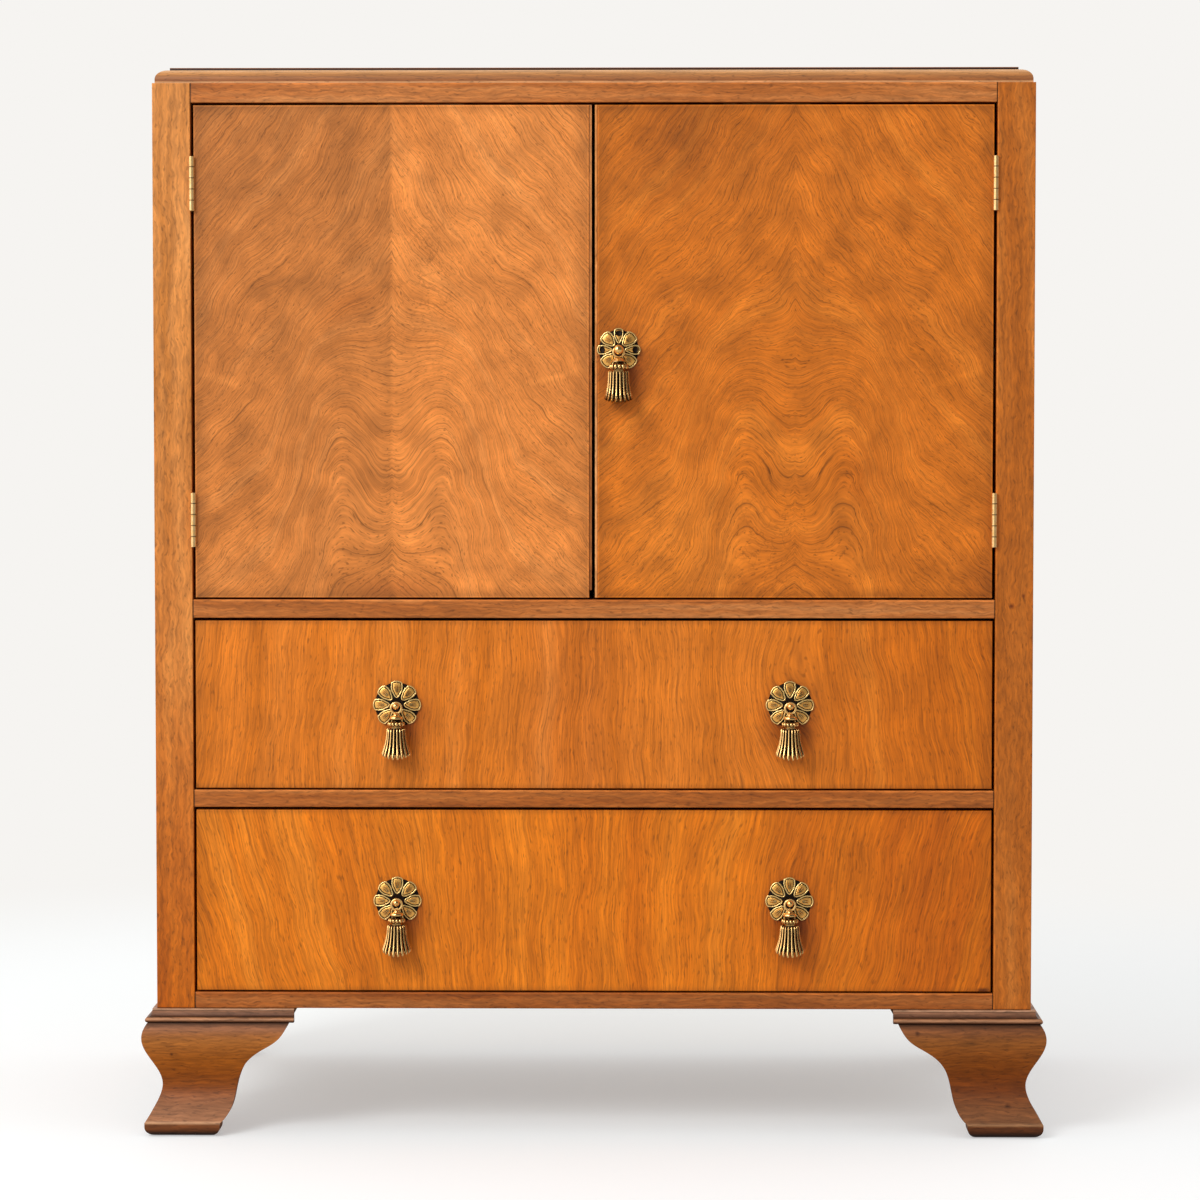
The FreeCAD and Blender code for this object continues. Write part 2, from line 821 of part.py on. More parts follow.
stile_edge = size("opening_half")
door_edge = size("door_outer")
stile_leaves = [hinge_leaf(stile_edge, 1, 0, middle) for middle in hinge_middles]
door_leaves = [hinge_leaf(door_edge, -1, 1, middle) for middle in hinge_middles]
pins = [hinge_pin(middle) for middle in hinge_middles]
stile_screws = [screw(stile_edge, 1, middle + step) for middle in hinge_middles for step in screw_steps]
door_screws = [screw(door_edge, -1, middle + step) for middle in hinge_middles for step in screw_steps]
hinge_groups = {
    "stile_hinge_leaves": stile_leaves + [mirror_across(leaf) for leaf in stile_leaves],
    "hinge_pins": pins + [mirror_across(pin) for pin in pins],
    "carcass_hinge_screws": stile_screws + [mirror_across(piece) for piece in stile_screws],
    "right_door_hinge_leaves": door_leaves,
    "right_door_hinge_screws": door_screws,
    "left_door_hinge_leaves": [mirror_across(leaf) for leaf in door_leaves],
    "left_door_hinge_screws": [mirror_across(piece) for piece in door_screws],
}
for label, pieces in hinge_groups.items():
    node(shaped(f"{label}_pieces", Part.makeCompound(pieces)), label)

# Tassel pulls: a rosette and a post for the doors and for the drawers, and one tassel for both

TO_FRONT = FreeCAD.Rotation(ACROSS, 90)


def rosette(label, radius):
    # A domed plate turned about Z, its rim nicked between the petals.
    body = doc.addObject("PartDesign::Body", label)
    profile = new_sketch(body, f"{label}_profile", "XZ_Plane")
    hole = "post_radius + post_clearance"
    bound_outline(profile, (
        (hole, "0"), (radius, "0"), (radius, "rosette_rim"),
        ("rosette_boss_radius", "rosette_rise"), (hole, "rosette_rise"),
    ))
    turned = body.newObject("PartDesign::Revolution", f"{label}_turned")
    turned.Profile = profile
    turned.ReferenceAxis = (profile, ["V_Axis"])
    turned.Angle = 360
    nick = new_sketch(body, f"{label}_nick", "XY_Plane")
    centre = Vector(size(radius), 0, 0)
    circle = nick.addGeometry(Part.Circle(centre, UPWARDS, size("scallop_radius")))
    nick.addConstraint(Sketcher.Constraint("PointOnObject", circle, 3, -1))
    out = nick.addConstraint(Sketcher.Constraint("DistanceX", -1, 1, circle, 3, centre.x))
    round_size = nick.addConstraint(Sketcher.Constraint("Radius", circle, size("scallop_radius")))
    nick.setExpression(f"Constraints[{out}]", in_sheet(f"{radius} + scallop_radius / 3"))
    nick.setExpression(f"Constraints[{round_size}]", in_sheet("scallop_radius"))
    doc.recompute()
    pocket = body.newObject("PartDesign::Pocket", f"{label}_pocket")
    pocket.Profile = nick
    pocket.Type = 1
    pocket.Midplane = True
    doc.recompute()
    ring = body.newObject("PartDesign::PolarPattern", f"{label}_ring")
    ring.Originals = [pocket]
    ring.Axis = (nick, ["N_Axis"])
    ring.Angle = 360
    ring.Occurrences = ROSETTE_PETALS
    body.Tip = ring
    doc.recompute()
    return body


def pull_post(label, neck_length, ball_radius, ball_length):
    # Stem in the wood, shaft through the rosette, neck for the ring and a rounded knob.
    neck_start = "stem_length + tassel_standoff - neck_back"
    stem = rod(f"{label}_stem", "stem_radius", "stem_length", UPWARDS, "0", "0", "0")
    shaft = rod(
        f"{label}_shaft", "post_radius", f"{neck_start} - stem_length", UPWARDS, "0", "0", "stem_length",
    )
    neck = rod(
        f"{label}_neck", "neck_radius", f"{neck_length} + {ball_length} / 2", UPWARDS, "0", "0", neck_start,
    )
    knob = doc.addObject("Part::Ellipsoid", f"{label}_knob")
    bind(knob, "Radius1", f"{ball_length} / 2")
    bind(knob, "Radius2", ball_radius)
    bind(knob, "Radius3", ball_radius)
    place(knob, z=f"{neck_start} + {neck_length} + {ball_length} / 2")
    return fused(label, [stem, shaft, neck, knob])


def reeded_section(radius, height):
    # A ring of convex reeds, one arc each.
    valley = radius - size("flute_radius")
    turn = 2 * math.pi / SKIRT_FLUTES

    def point(distance, angle):
        return Vector(distance * math.cos(angle), distance * math.sin(angle), height)

    arcs = [
        Part.Arc(
            point(valley, (index - 0.5) * turn),
            point(radius, index * turn),
            point(valley, (index + 0.5) * turn),
        ).toShape()
        for index in range(SKIRT_FLUTES)
    ]
    return Part.Wire(arcs)


def tassel():
    # Ring, two collars and a reeded skirt, hung below the post's axis.
    ring_drop = size("ring_radius") - size("ring_wire_radius") - size("neck_radius") - size("ring_clearance")
    ring = Part.makeTorus(
        size("ring_radius"), size("ring_wire_radius"), Vector(0, 0, -ring_drop), BACKWARDS,
    )
    stalk_top = -ring_drop - size("ring_radius")
    collar_top = stalk_top - 2 * size("ring_wire_radius")
    turned = [
        ("upper_collar_radius", "upper_collar_height"),
        ("collar_waist_radius", "collar_waist_height"),
        ("lower_collar_radius", "lower_collar_height"),
        ("skirt_neck_radius", "skirt_neck_height"),
    ]
    pieces = [ring, Part.makeCylinder(
        size("tassel_stalk_radius"), stalk_top - collar_top, Vector(0, 0, collar_top),
    )]
    level = collar_top
    for radius, height in turned:
        level -= size(height)
        pieces.append(Part.makeCylinder(size(radius), size(height), Vector(0, 0, level)))
    length = size("skirt_length")
    skirt = Part.makeLoft([
        reeded_section(size("skirt_top_radius"), level),
        reeded_section(size("skirt_waist_radius"), level - length / 2),
        reeded_section(size("skirt_radius"), level - length),
    ], True)
    return joined(pieces + [skirt])


drawer_rosette = rosette("drawer_rosette", "rosette_radius")
small_rosette = rosette("small_rosette", "door_rosette_radius")
drawer_post = pull_post("drawer_post", "neck_length", "ball_radius", "ball_length")
door_post = pull_post("door_post", "door_neck_length", "door_ball_radius", "2 * door_ball_radius")
drop = shaped("tassel_drop", tassel())


def pull_hole(label, x, z):
    return rod(f"{label}_stem_hole", "stem_radius + post_clearance", "stem_length", BACKWARDS, x, "face_y", z)


def hang_pulls(owner, plate, post, spots, tassel_labels):
    # Spots are the pulls' places across and up; tassels are nodes of their own because they swing.
    plates = [placed(f"{owner}_plate", plate, x, "face_y", z, TO_FRONT) for x, z in spots]
    posts = [placed(f"{owner}_stem", post, x, "face_y + stem_length", z, TO_FRONT) for x, z in spots]
    ending = "s" if len(spots) > 1 else ""
    grouped(f"{owner}_rosette{ending}", plates)
    grouped(f"{owner}_post{ending}", posts)
    for label, (x, z) in zip(tassel_labels, spots):
        grouped(label, [placed(f"{label}_drop", drop, x, "ring_y", z)])


# Doors

door_y = ("face_y", "door_back_y")
door_span = ("door_z", "door_top_z")

left_panel = planed_board("left_door_blank", ("-door_outer", "-panel_inner"), door_y, door_span)
node(cut("left_door_cut", left_panel, screw_holes("left_door", "-door_outer", ACROSS)), "left_door_panel")
node(board("left_lipping", ("-panel_inner", "-door_inner"), ("face_y + left_lipping_setback", "door_back_y"),
           ("door_z + left_lipping_short", "door_top_z")),
     "left_door_lipping")

right_panel = planed_board("right_door_blank", ("panel_inner", "door_outer"), door_y, door_span)
right_holes = screw_holes("right_door", "door_outer", -ACROSS)
right_holes.append(pull_hole("right_door", "door_pull_x", "door_pull_z"))
node(cut("right_door_cut", right_panel, right_holes), "right_door_panel")
node(planed_board("right_lipping", ("door_inner", "panel_inner"), door_y, door_span), "right_door_lipping")
hang_pulls("door_pull", small_rosette, door_post, [("door_pull_x", "door_pull_z")], ["door_pull_tassel"])

# Bolt inside the left door: a plate with two guides, and a rod with a knob

guide_half = "(bolt_radius + bolt_guide_wall)"
plate_top = "bolt_top_z"
plate_span = (f"{plate_top} - bolt_plate_length", plate_top)
bolt_plate = board("bolt_plate", centred("bolt_x", "bolt_plate_width"), ("door_back_y", "bolt_plate_y"),
                   plate_span)
guide_block_y = ("bolt_plate_y", f"bolt_y + {guide_half}")
guide_block_x = (f"bolt_x - {guide_half}", f"bolt_x + {guide_half}")
guide_blocks = [
    board("upper_bolt_guide", guide_block_x, guide_block_y, (f"{plate_top} - bolt_guide_length", plate_top)),
    board("lower_bolt_guide", guide_block_x, guide_block_y,
          (plate_span[0], f"{plate_span[0]} + bolt_guide_length")),
]
bolt_bore = rod("bolt_bore", "bolt_radius + bolt_clearance", "bolt_plate_length", UPWARDS,
                "bolt_x", "bolt_y", plate_span[0])
node(cut("bolt_plate_cut", fused("bolt_plate_fused", [bolt_plate] + guide_blocks), [bolt_bore]),
     "left_door_bolt_plate")
bolt_rod = rod("bolt_rod", "bolt_radius", "bolt_length", UPWARDS,
               "bolt_x", "bolt_y", "bolt_top_z - bolt_length")
bolt_knob = rod("bolt_knob", "bolt_knob_radius", "bolt_knob_length", BACKWARDS,
                "bolt_x", "bolt_y", "bolt_top_z - bolt_plate_length / 2 - bolt_throw / 2")
node(fused("bolt_fused", [bolt_rod, bolt_knob]), "left_door_bolt")

# Drawers: lapped dovetails at the front, through dovetails at the back


def dovetail(label, x_span, y_span, z_span, index, wide_first):
    # One tail of a row spread evenly over the height, wider at its free end.
    low, high = z_span
    middle = f"({low}) + ({high} - ({low})) * {(index + 0.5) / DOVETAILS}"
    wide = "tail_width / 2"
    narrow = "(tail_width / 2 - tail_taper)"
    near, far = (wide, narrow) if wide_first else (narrow, wide)
    tail = doc.addObject("Part::Wedge", label)
    limits = {
        "Xmin": x_span[0], "X2min": x_span[0], "Xmax": x_span[1], "X2max": x_span[1],
        "Ymin": y_span[0], "Ymax": y_span[1],
        "Zmin": f"{middle} - {near}", "Zmax": f"{middle} + {near}",
        "Z2min": f"{middle} - {far}", "Z2max": f"{middle} + {far}",
    }
    for prop, formula in limits.items():
        bind(tail, prop, formula)
    return tail


def drawer(name, bay_z, bay_height):
    front_z = (f"{bay_z} + drawer_bottom_gap", f"{bay_z} + {bay_height} - drawer_top_gap")
    side_z = (f"{bay_z} + runner_clearance", f"{front_z[1]} - drawer_side_drop")
    bottom_low = f"{side_z[0]} + drawer_bottom_rise"
    bottom_z = (bottom_low, f"{bottom_low} + drawer_bottom_thickness")
    back_z = (bottom_z[1], side_z[1])
    groove_y = ("drawer_joint_y - drawer_groove", "drawer_rear_y")
    groove_x = "drawer_inner + drawer_groove"
    pull_z = f"({front_z[0]} + {front_z[1]}) / 2"
    spots = [("-pull_offset", pull_z), ("pull_offset", pull_z)]

    lapped_y = ("face_y + dovetail_lap", "drawer_joint_y")
    through_y = ("drawer_back_y", "drawer_rear_y")
    whole_x = ("-drawer_half", "drawer_half")
    side_x = ("drawer_inner", "drawer_half")

    def front_tails(label, hand):
        return [dovetail(label, hand(side_x), lapped_y, side_z, index, True) for index in range(DOVETAILS)]

    def rear_tails(label, hand):
        return [dovetail(label, hand(side_x), through_y, back_z, index, False) for index in range(DOVETAILS)]

    sockets = [tail for hand in hands.values() for tail in front_tails(f"{name}_front_socket", hand)]
    rear_sockets = [tail for hand in hands.values() for tail in rear_tails(f"{name}_rear_socket", hand)]

    blank = planed_board(f"{name}_front_blank", whole_x, ("face_y", "drawer_joint_y"), front_z)
    groove = board(f"{name}_front_groove", (f"-({groove_x})", groove_x), groove_y, bottom_z)
    holes = [pull_hole(name, x, z) for x, z in spots]
    node(cut(f"{name}_front_cut", blank, sockets + [groove] + holes), f"{name}_front")

    for side, hand in hands.items():
        label = f"{name}_{side}_side"
        blank = board(f"{label}_blank", hand(side_x), ("drawer_joint_y", "drawer_back_y"), side_z)
        ends = front_tails(f"{label}_front_tail", hand) + rear_tails(f"{label}_rear_tail", hand)
        groove = board(f"{label}_groove", hand(("drawer_inner", groove_x)), groove_y, bottom_z)
        node(cut(f"{label}_cut", fused(f"{label}_tailed", [blank] + ends), [groove]), label)

    blank = board(f"{name}_back_blank", whole_x, through_y, back_z)
    node(cut(f"{name}_back_cut", blank, rear_sockets), f"{name}_back")
    node(board(f"{name}_bottom_panel", (f"-({groove_x})", groove_x), groove_y, bottom_z), f"{name}_bottom")
    tassel_labels = [f"{name}_left_tassel", f"{name}_right_tassel"]
    hang_pulls(f"{name}_pull", drawer_rosette, drawer_post, spots, tassel_labels)


drawer("upper_drawer", "upper_drawer_z", "upper_drawer_opening")
drawer("lower_drawer", "lower_drawer_z", "lower_drawer_opening")

# Checks before anything is written

doc.recompute()
for thing in doc.Objects:
    if {"Invalid", "Error"} & set(thing.State):
        raise RuntimeError(f"{thing.Label} did not build: {thing.State}")
for thing in nodes:
    if thing.Shape.isNull() or not thing.Shape.isValid() or not thing.Shape.Solids:
        raise RuntimeError(f"{thing.Label} has no sound shape")

os.makedirs("parts", exist_ok=True)
for thing in nodes:
    thing.Shape.exportStep(f"parts/{thing.Label}.step")
print(len(nodes), "pieces written")
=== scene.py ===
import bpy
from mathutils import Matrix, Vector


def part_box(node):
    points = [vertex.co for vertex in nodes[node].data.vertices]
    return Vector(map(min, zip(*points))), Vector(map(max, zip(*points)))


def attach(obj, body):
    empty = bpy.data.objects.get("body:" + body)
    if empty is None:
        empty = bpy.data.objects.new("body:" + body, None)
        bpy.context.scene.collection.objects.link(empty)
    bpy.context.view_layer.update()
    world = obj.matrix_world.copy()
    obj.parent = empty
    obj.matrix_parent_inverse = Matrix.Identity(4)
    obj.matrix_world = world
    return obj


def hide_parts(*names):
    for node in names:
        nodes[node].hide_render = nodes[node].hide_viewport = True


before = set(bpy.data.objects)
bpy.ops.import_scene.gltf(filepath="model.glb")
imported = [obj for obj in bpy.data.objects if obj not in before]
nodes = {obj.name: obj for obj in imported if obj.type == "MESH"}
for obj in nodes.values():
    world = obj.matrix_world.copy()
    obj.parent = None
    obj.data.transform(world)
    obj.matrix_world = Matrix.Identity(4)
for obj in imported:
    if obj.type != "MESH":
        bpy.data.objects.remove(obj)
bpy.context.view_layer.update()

import math

import bmesh
import bpy
from mathutils import Vector

mm = 0.001  # the scene is in metres, the sizes below are in millimetres
endless = 1e6  # half size of a patch that runs right through the piece
noiseSpan = {"From Min": 0.3, "From Max": 0.7}  # most of what a noise texture gives lies in here
print("frame loaded:", len(nodes), "solids")


# small helpers for materials

def linear(hexColour):
    shares = [int(hexColour[start:start + 2], 16) / 255 for start in (1, 3, 5)]
    return [share / 12.92 if share <= 0.04045 else ((share + 0.055) / 1.055) ** 2.4 for share in shares] + [1]


def addNode(tree, kind, sockets, out=0, stops=None, **settings):
    node = tree.nodes.new(kind)
    for setting, value in settings.items():
        setattr(node, setting, value)
    if stops:
        ends = node.color_ramp.elements
        for end, (place, colour) in ((ends[0], stops[0]), (ends[1], stops[-1])):
            end.position, end.color = place, linear(colour)
        for place, colour in stops[1:-1]:
            node.color_ramp.elements.new(place).color = linear(colour)
    for socket, value in sockets.items():
        if isinstance(value, bpy.types.NodeSocket):
            tree.links.new(value, node.inputs[socket])
        else:
            node.inputs[socket].default_value = value
    return node.outputs[out] if len(node.outputs) else node


def newFinish(name):
    finish = bpy.data.materials.new(name)
    finish.use_nodes = True
    finish.node_tree.nodes.clear()
    return finish, finish.node_tree


def closeFinish(tree, sockets):
    shader = addNode(tree, "ShaderNodeBsdfPrincipled", sockets)
    addNode(tree, "ShaderNodeOutputMaterial", {"Surface": shader})


def inMillimetres(tree, centre):
    place = addNode(tree, "ShaderNodeTexCoord", {}, out="Object")
    return addNode(tree, "ShaderNodeMapping", {
        "Vector": place, "Location": tuple(centre), "Scale": (mm, mm, mm)}, vector_type="TEXTURE")


def swayed(tree, place, spread, reach):
    # slow wandering of the grain: noise of the given spread moves every point by about a fifth of reach
    wander = addNode(tree, "ShaderNodeTexNoise", {
        "Vector": place, "Scale": 1 / spread, "Detail": 2.0}, out="Color")
    even = addNode(tree, "ShaderNodeVectorMath", {0: wander, 1: (0.5, 0.5, 0.5)}, operation="SUBTRACT")
    return addNode(tree, "ShaderNodeVectorMath", {0: even, 1: reach, 2: place}, operation="MULTIPLY_ADD")


def mound(tree, place, centre, radii, rise, lean=0):
    # a smooth rise from 0 at the edge of an ellipse to rise at its centre
    spot = addNode(tree, "ShaderNodeMapping", {
        "Vector": place, "Location": centre, "Rotation": (0, math.radians(lean), 0), "Scale": radii},
        vector_type="TEXTURE")
    ball = addNode(tree, "ShaderNodeTexGradient", {"Vector": spot}, out="Fac", gradient_type="SPHERICAL")
    return addNode(tree, "ShaderNodeMapRange", {
        "Value": ball, "To Min": 0.0, "To Max": rise}, interpolation_type="SMOOTHSTEP")


def stained(tree, colour, place, stains):
    # soft patches of another tone: place, half sizes, lean in degrees, what the colour is multiplied by
    for (x, z), (wide, tall), lean, tint in stains:
        patch = mound(tree, place, (x, 0, z), (wide, endless, tall), 1.0, lean)
        colour = addNode(tree, "ShaderNodeMix", {0: patch, 6: colour, 7: tint + (1,)}, out=2,
                         data_type="RGBA", blend_type="MULTIPLY")
    return colour


def fromMiddle(tree, place):
    # distances along X, Y and Z, the same on both sides of the middle
    folded = addNode(tree, "ShaderNodeVectorMath", {0: place}, operation="ABSOLUTE")
    return addNode(tree, "ShaderNodeSeparateXYZ", {"Vector": folded}).node.outputs


def farFrom(tree, value, at):
    off = addNode(tree, "ShaderNodeMath", {0: value, 1: at}, operation="SUBTRACT")
    return addNode(tree, "ShaderNodeMath", {0: off}, operation="ABSOLUTE")


def ruled(tree, place, marks):
    # thin straight lines on both sides of the middle: dark joints, and pale arrises that are painted
    # highlights with some rubbed wear. Each is an axis, a distance along it, half its width and what the
    # colour is multiplied by
    inside, outside = 0.7, 1.3  # shares of half the width between which a line's edge fades
    ways = fromMiddle(tree, place)
    return [addNode(tree, "ShaderNodeMapRange", {
        "Value": farFrom(tree, ways[axis], at), "From Min": inside * half, "From Max": outside * half,
        "To Min": tone, "To Max": 1.0}) for axis, at, half, tone in marks]


grainCut = {  # how lines, streaks and pores are cut out of noise, the same in every wood
    "lineWidth": 0.16,  # share of the step to the next growth line over which a line fades
    "lineDrift": 4.0,  # steps by which the bands push the lines about
    "lost": (0.42, 0.56),  # from the first streak value to the second the lines fade out
    "ripple": (0.25, 0.75), "pore": (0.60, 0.74),
}


def grainLines(tree, lay, wood):
    # lay runs over the grain in X and along it in Y; each layer is (over, along) in millimetres.
    # Fibres and pores are drawn two or three times as coarse as they are, so that they show
    layers = {}
    for layer, detail in (("band", 2.0), ("streak", 2.0), ("fibre", 2.0), ("pore", 1.0)):
        over, run = wood[layer]
        scaled = addNode(tree, "ShaderNodeVectorMath", {
            0: lay, 1: (1 / over, 1 / run, 1)}, operation="MULTIPLY")
        layers[layer] = addNode(tree, "ShaderNodeTexNoise", {
            "Vector": scaled, "Scale": 1.0, "Detail": detail}, out="Fac")
    # growth lines: sharp on one side and fading on the other, plain in some places and lost in others
    over = addNode(tree, "ShaderNodeSeparateXYZ", {"Vector": lay}, out="X")
    drift = addNode(tree, "ShaderNodeMath", {
        0: layers["band"], 1: grainCut["lineDrift"]}, operation="MULTIPLY")
    count = addNode(tree, "ShaderNodeMath", {
        0: over, 1: 1 / wood["lineStep"], 2: drift}, operation="MULTIPLY_ADD")
    phase = addNode(tree, "ShaderNodeMath", {0: count}, operation="FRACT")
    line = addNode(tree, "ShaderNodeMapRange", {
        "Value": phase, "From Min": 0.0, "From Max": grainCut["lineWidth"],
        "To Min": wood["lineTone"], "To Max": 1.0}, interpolation_type="SMOOTHSTEP")
    lost = addNode(tree, "ShaderNodeMapRange", {
        "Value": layers["streak"], "From Min": grainCut["lost"][0], "From Max": grainCut["lost"][1]})
    shades = [addNode(tree, "ShaderNodeMix", {0: lost, 2: line, 3: 1.0}, data_type="FLOAT")]
    for layer in ("streak", "fibre"):
        tone = wood[layer + "Tone"]
        shades.append(addNode(tree, "ShaderNodeMapRange", {
            "Value": layers[layer], "From Min": grainCut["ripple"][0], "From Max": grainCut["ripple"][1],
            "To Min": 1 - tone, "To Max": 1 + tone}))
    shades.append(addNode(tree, "ShaderNodeMapRange", {
        "Value": layers["pore"], "From Min": grainCut["pore"][0], "From Max": grainCut["pore"][1],
        "To Min": 1.0, "To Max": wood["poreTone"]}))
    return layers["band"], shades, layers["fibre"]


def grimyEdges(tree, place, edges):
    # grime of years along the edges: axis, where the edge is, how far in the grime reaches and
    # what it leaves of the colour
    ways = fromMiddle(tree, place)
    return [addNode(tree, "ShaderNodeMapRange", {
        "Value": ways[axis], "From Min": edge, "From Max": edge + reach, "To Min": tone, "To Max": 1.0},
        interpolation_type="SMOOTHSTEP") for axis, edge, reach, tone in edges]


def blotched(tree, place, wood):
    # soft patches of lighter and darker wood
    patches = addNode(tree, "ShaderNodeTexNoise", {
        "Vector": place, "Scale": 1 / wood["blotchMm"], "Detail": wood["blotchDetail"]}, out="Fac")
    return addNode(tree, "ShaderNodeMapRange", {
        "Value": patches, **noiseSpan, "To Min": wood["blotch"][0], "To Max": wood["blotch"][1]})


def times(tree, factors):
    product = factors[0]
    for factor in factors[1:]:
        product = addNode(tree, "ShaderNodeMath", {0: product, 1: factor}, operation="MULTIPLY")
    return product


frenchPolish = {"relief": 0.06, "deepMm": 0.3, "gloss": 0.3}


def polishedWood(tree, colour, shades, fibre, wood):
    # French polish over the wood: a soft sheen, with the fibres just felt
    toned = addNode(tree, "ShaderNodeVectorMath", {
        0: colour, "Scale": times(tree, shades)}, operation="SCALE")
    relief = addNode(tree, "ShaderNodeBump", {
        "Height": times(tree, shades[:1] + [fibre]), "Strength": wood["relief"],
        "Distance": wood["deepMm"] * mm}, out="Normal")
    rough = addNode(tree, "ShaderNodeMapRange", {
        "Value": fibre, **noiseSpan, "To Min": wood["rough"][1], "To Max": wood["rough"][0]})
    closeFinish(tree, {
        "Base Color": toned, "Roughness": rough, "Normal": relief, "Specular IOR Level": wood["gloss"]})


# walnut veneer, figured, bookmatched down the middle of each door: the lines climb to the seam in
# rounded Vs and, lower down, arch over an eye on either side of it

doorFigure = {
    "slopeTop": 1.7, "slopeLow": 0.95,  # how steeply the lines climb, at the top and at the bottom
    "fall": 0.5,  # what a step downwards counts along the grain, beside one away from the seam
    "mounds": (  # place from the seam and from the top, half sizes, rise
        ((56, 315), (66, 200), 104), ((0, 470), (50, 120), 14), ((138, 168), (44, 55), 20)),
    "band": (26, 200), "streak": (2.8, 60), "fibre": (1.35, 18), "pore": (1.3, 4.5),
    "lineStep": 8, "lineTone": 0.52, "streakTone": 0.15, "fibreTone": 0.19, "poreTone": 0.54,
    **frenchPolish, "rough": (0.38, 0.48),
    "swayMm": 95, "swayReach": 40,  # slow wandering of the lines, alike in both leaves
    "blotchMm": 30, "blotchDetail": 5.0, "blotch": (0.80, 1.20), "seamMm": 2.0,
    "burrMm": 13, "burrTone": 0.78, "burrSize": (62, 150), "burrAt": 0.47, "burrLine": 0.03,
    "grimeSide": (20, 0.74), "grimeTop": (10, 0.78), "grimeFoot": (12, 0.72),  # how far in, what is left
    "arrisIn": 0.6, "arrisHalf": (0.8, 0.9), "arrisHighlight": (1.3, 1.4),
}
leftDoor = {
    **doorFigure, "panel": "left_door_panel", "seed": 2.7, "crinkle": (20, 6), "burr": (30, -150),
    "tones": ((0.30, "#d98239"), (0.46, "#de863c"), (0.54, "#e0883e"), (0.70, "#e58e44")),
    "leaves": ((0.68, 0.93), (1.00, 1.05)),  # left and right leaf, each at the top and at the bottom
    "stains": (  # place from the seam and from the top, half sizes, lean, tone
        ((0, -446), (75, 22), 0, (0.76, 0.70, 0.66)), ((-40, -180), (46, 40), 0, (0.88, 0.83, 0.76)),
        ((-160, -252), (42, 6), 16, (1.16, 1.2, 1.25)), ((150, -250), (52, 6), -17, (1.12, 1.16, 1.2)),
        # the last is a painted sheen, paler and bluer, near the top to the right of the seam
        ((90, -60), (90, 130), 20, (1.06, 1.1, 1.18))),
}
rightDoor = {
    **doorFigure, "panel": "right_door_panel", "seed": 7.4, "crinkle": (16, 6), "burr": (-24, -400),
    "tones": ((0.30, "#cb6e15"), (0.46, "#d07118"), (0.54, "#d2731a"), (0.70, "#d7791f")),
    "leaves": ((0.94, 1.08), (1.01, 1.01)),
    "stains": (
        ((-105, -30), (75, 80), 0, (0.66, 0.64, 0.68)), ((-20, -20), (40, 60), 0, (0.86, 0.84, 0.84)),
        ((152, -250), (48, 6), -20, (1.14, 1.16, 1.2)), ((-110, -400), (90, 110), 0, (1.08, 1.18, 1.6)),
        ((176, -440), (40, 40), 0, (0.82, 0.78, 0.78)), ((60, -340), (40, 50), 0, (0.94, 0.90, 0.82)),
        ((-157, -240), (36, 50), 0, (0.42, 0.32, 0.22)), ((92, -453.5), (6, 2), 0, (0.2, 0.15, 0.15))),
    # the last two are painted shadow round the pull and a nick in the lower edge
}


